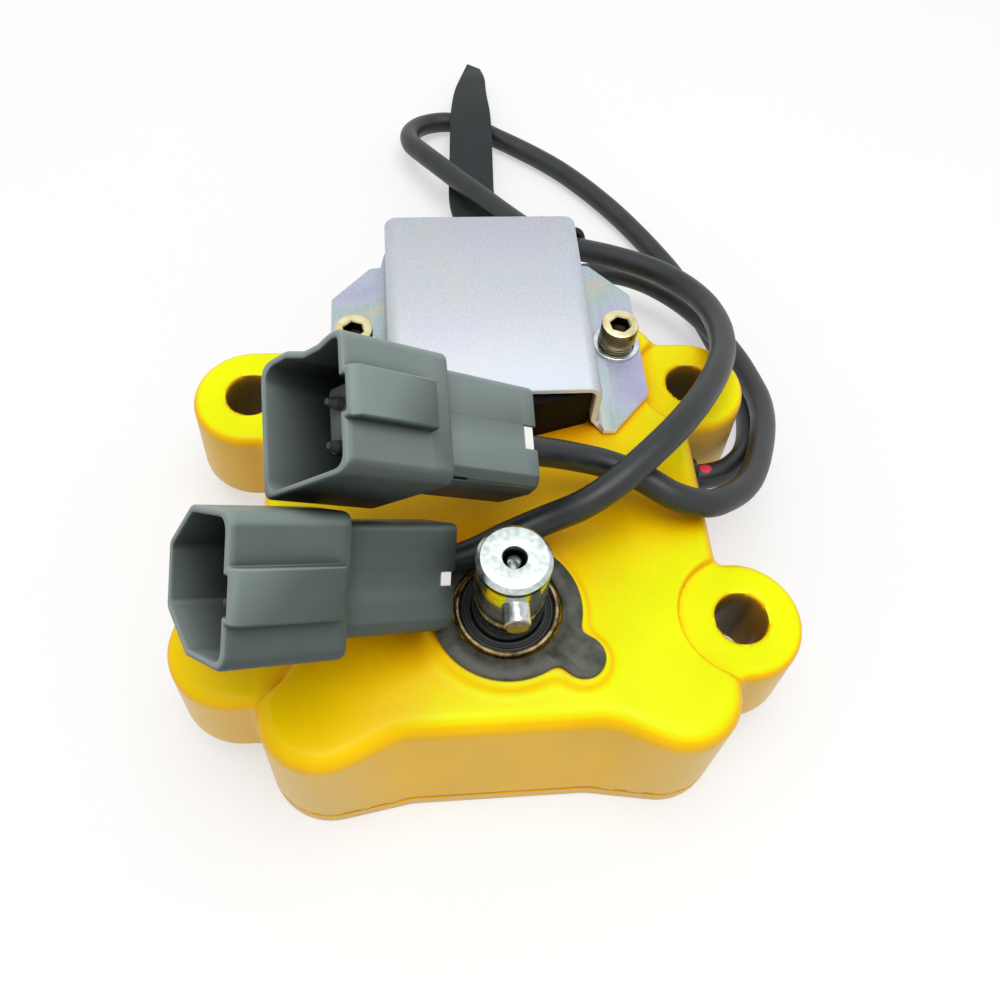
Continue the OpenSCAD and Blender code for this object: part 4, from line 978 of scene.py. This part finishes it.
# Painted light and shade: faces turned up and back, towards the light, are paler grey, faces turned away
# darker.
toward_light = add(tree, "VectorMath", {0: normal(tree), 1: (-0.2, 0.6, 0.775)}, operation="DOT_PRODUCT")
facing_painted_light = ramp(tree, remap(tree, toward_light.outputs["Value"], -1.0, 1.0), [
    (0.1, srgb(56, 65, 64)), (0.45, srgb(70, 80, 77)), (0.56, srgb(82, 93, 89)),
    (0.66, srgb(124, 137, 135)), (0.95, srgb(146, 158, 154))])
# Painted shade: nooks, such as inside the mouths, are darker.
moulding_painted_shade = ramp(tree, open_sky(tree, 0.02), [
    (0.1, srgb(96, 96, 96)), (0.55, srgb(170, 170, 170)), (0.85, WHITE)])
shaded(tree, shader, tones, facing_painted_light, moulding_painted_shade)
wear(grey, "upper_connector_moulding", "lower_connector_moulding")
white, *_ = finish("white_lock", srgb(240, 240, 236), srgb(250, 250, 248), (0.35, 0.45), 200)
wear(white, "upper_connector_lock", "lower_connector_lock")

# %% Rubber and nylon
NICK_AT = (0.0502, 0.0388, 0.0239)
rubber, tree, shader, tones = finish("lead_rubber", srgb(22, 26, 28), srgb(34, 39, 41), (0.34, 0.48),
                                     160, 2400, 0.00005, 0.25)
away = add(tree, "VectorMath", {0: here(tree), 1: NICK_AT}, operation="DISTANCE")
nick = remap(tree, away.outputs["Value"], 0.0011, 0.0016, 1.0, 0.0)
tree.links.new(blend(tree, nick, tones["Color"], srgb(226, 52, 78)), shader.inputs["Base Color"])
wear(rubber, "motor_cable_lead", "sensor_cable_lead", "seal_lip_ring", "side_grommet", "rear_grommet",
     "upper_connector_seal", "lower_connector_seal")
boot, *_ = finish("boot_rubber", srgb(6, 6, 7), srgb(12, 12, 12), (0.5, 0.6), 160, 2400, 0.00005, 0.25,
                  Specular_IOR_Level=0.1)
wear(boot, "lead_boot")
nylon, *_ = finish("black_nylon", srgb(22, 29, 31), srgb(32, 40, 42), (0.45, 0.6), 140, 1800, 0.00005, 0.2,
                   Specular_IOR_Level=0.3)
wear(nylon, "tie_strap", "sensor_body")

# %% [markdown]
# ## Floor and light
# The photograph is a bright studio shot: white floor, soft light from above and a weak shadow at the
# foot. One wide lamp above gives the shadow a side, and the world fills in the rest. Where a ray is seen,
# at once or in a mirror, the floor glows a little and the world is white; as sources of light both are
# weaker, so the part keeps its shade.

# %% Floor
def seen_rays(tree):
    """1 for a ray that is seen, at once, in a mirror or through glass, and 0 for one that carries light."""
    rays = add(tree, "LightPath").outputs
    seen = rays["Is Camera Ray"]
    for kind in ("Is Glossy Ray", "Is Transmission Ray"):
        seen = math_node(tree, "MAXIMUM", seen, rays[kind])
    return seen


FLOOR_HALF, FLOOR_Z, GLOW = 1600, -0.05, 0.5
floor_points = np.array([[-1, -1, 0], [1, -1, 0], [1, 1, 0], [-1, 1, 0]]) * FLOOR_HALF + [0, 0, FLOOR_Z]
floor = put_mesh("floor", [(floor_points, [[0, 1, 2, 3]])], outward=False)
pale, tree, shader, _ = finish("pale_floor", srgb(250, 250, 250), srgb(252, 252, 252), (0.9, 0.95), 6, 300,
                               0.0, 0.0, Specular_IOR_Level=0.0)
glow = add(tree, "Emission").outputs["Emission"]
share = math_node(tree, "MULTIPLY", seen_rays(tree), GLOW)
both = add(tree, "MixShader", {0: share, 1: shader.outputs["BSDF"], 2: glow})
tree.links.new(both.outputs["Shader"], tree.nodes["Material Output"].inputs["Surface"])
wear(pale, "floor")

# %% Light
FILL, LAMP_WIDTH, LAMP_WATTS = 0.62, 0.7, 4.2
LAMP_AT, LAMP_AIM = (0.02, -0.03, 0.9), (0.0, 0.02, 0.03)
world = bpy.data.worlds.new("studio")
bpy.context.scene.world = world
world.use_nodes = True
tree = world.node_tree
background = tree.nodes["Background"]
background.inputs["Color"].default_value = (1, 1, 1, 1)
tree.links.new(remap(tree, seen_rays(tree), 0.0, 1.0, low=FILL), background.inputs["Strength"])

lamp = bpy.data.objects.new("top_lamp", bpy.data.lights.new("top_lamp", "AREA"))
lamp.data.shape = "DISK"
lamp.data.size = LAMP_WIDTH
lamp.data.energy = LAMP_WATTS
lamp.location = LAMP_AT
lamp.rotation_euler = (Vector(LAMP_AIM) - lamp.location).to_track_quat("-Z", "Y").to_euler()
bpy.context.scene.collection.objects.link(lamp)
bpy.context.scene.view_settings.view_transform = "Standard"
print("lamp of", LAMP_WATTS, "W and a fill of", FILL)
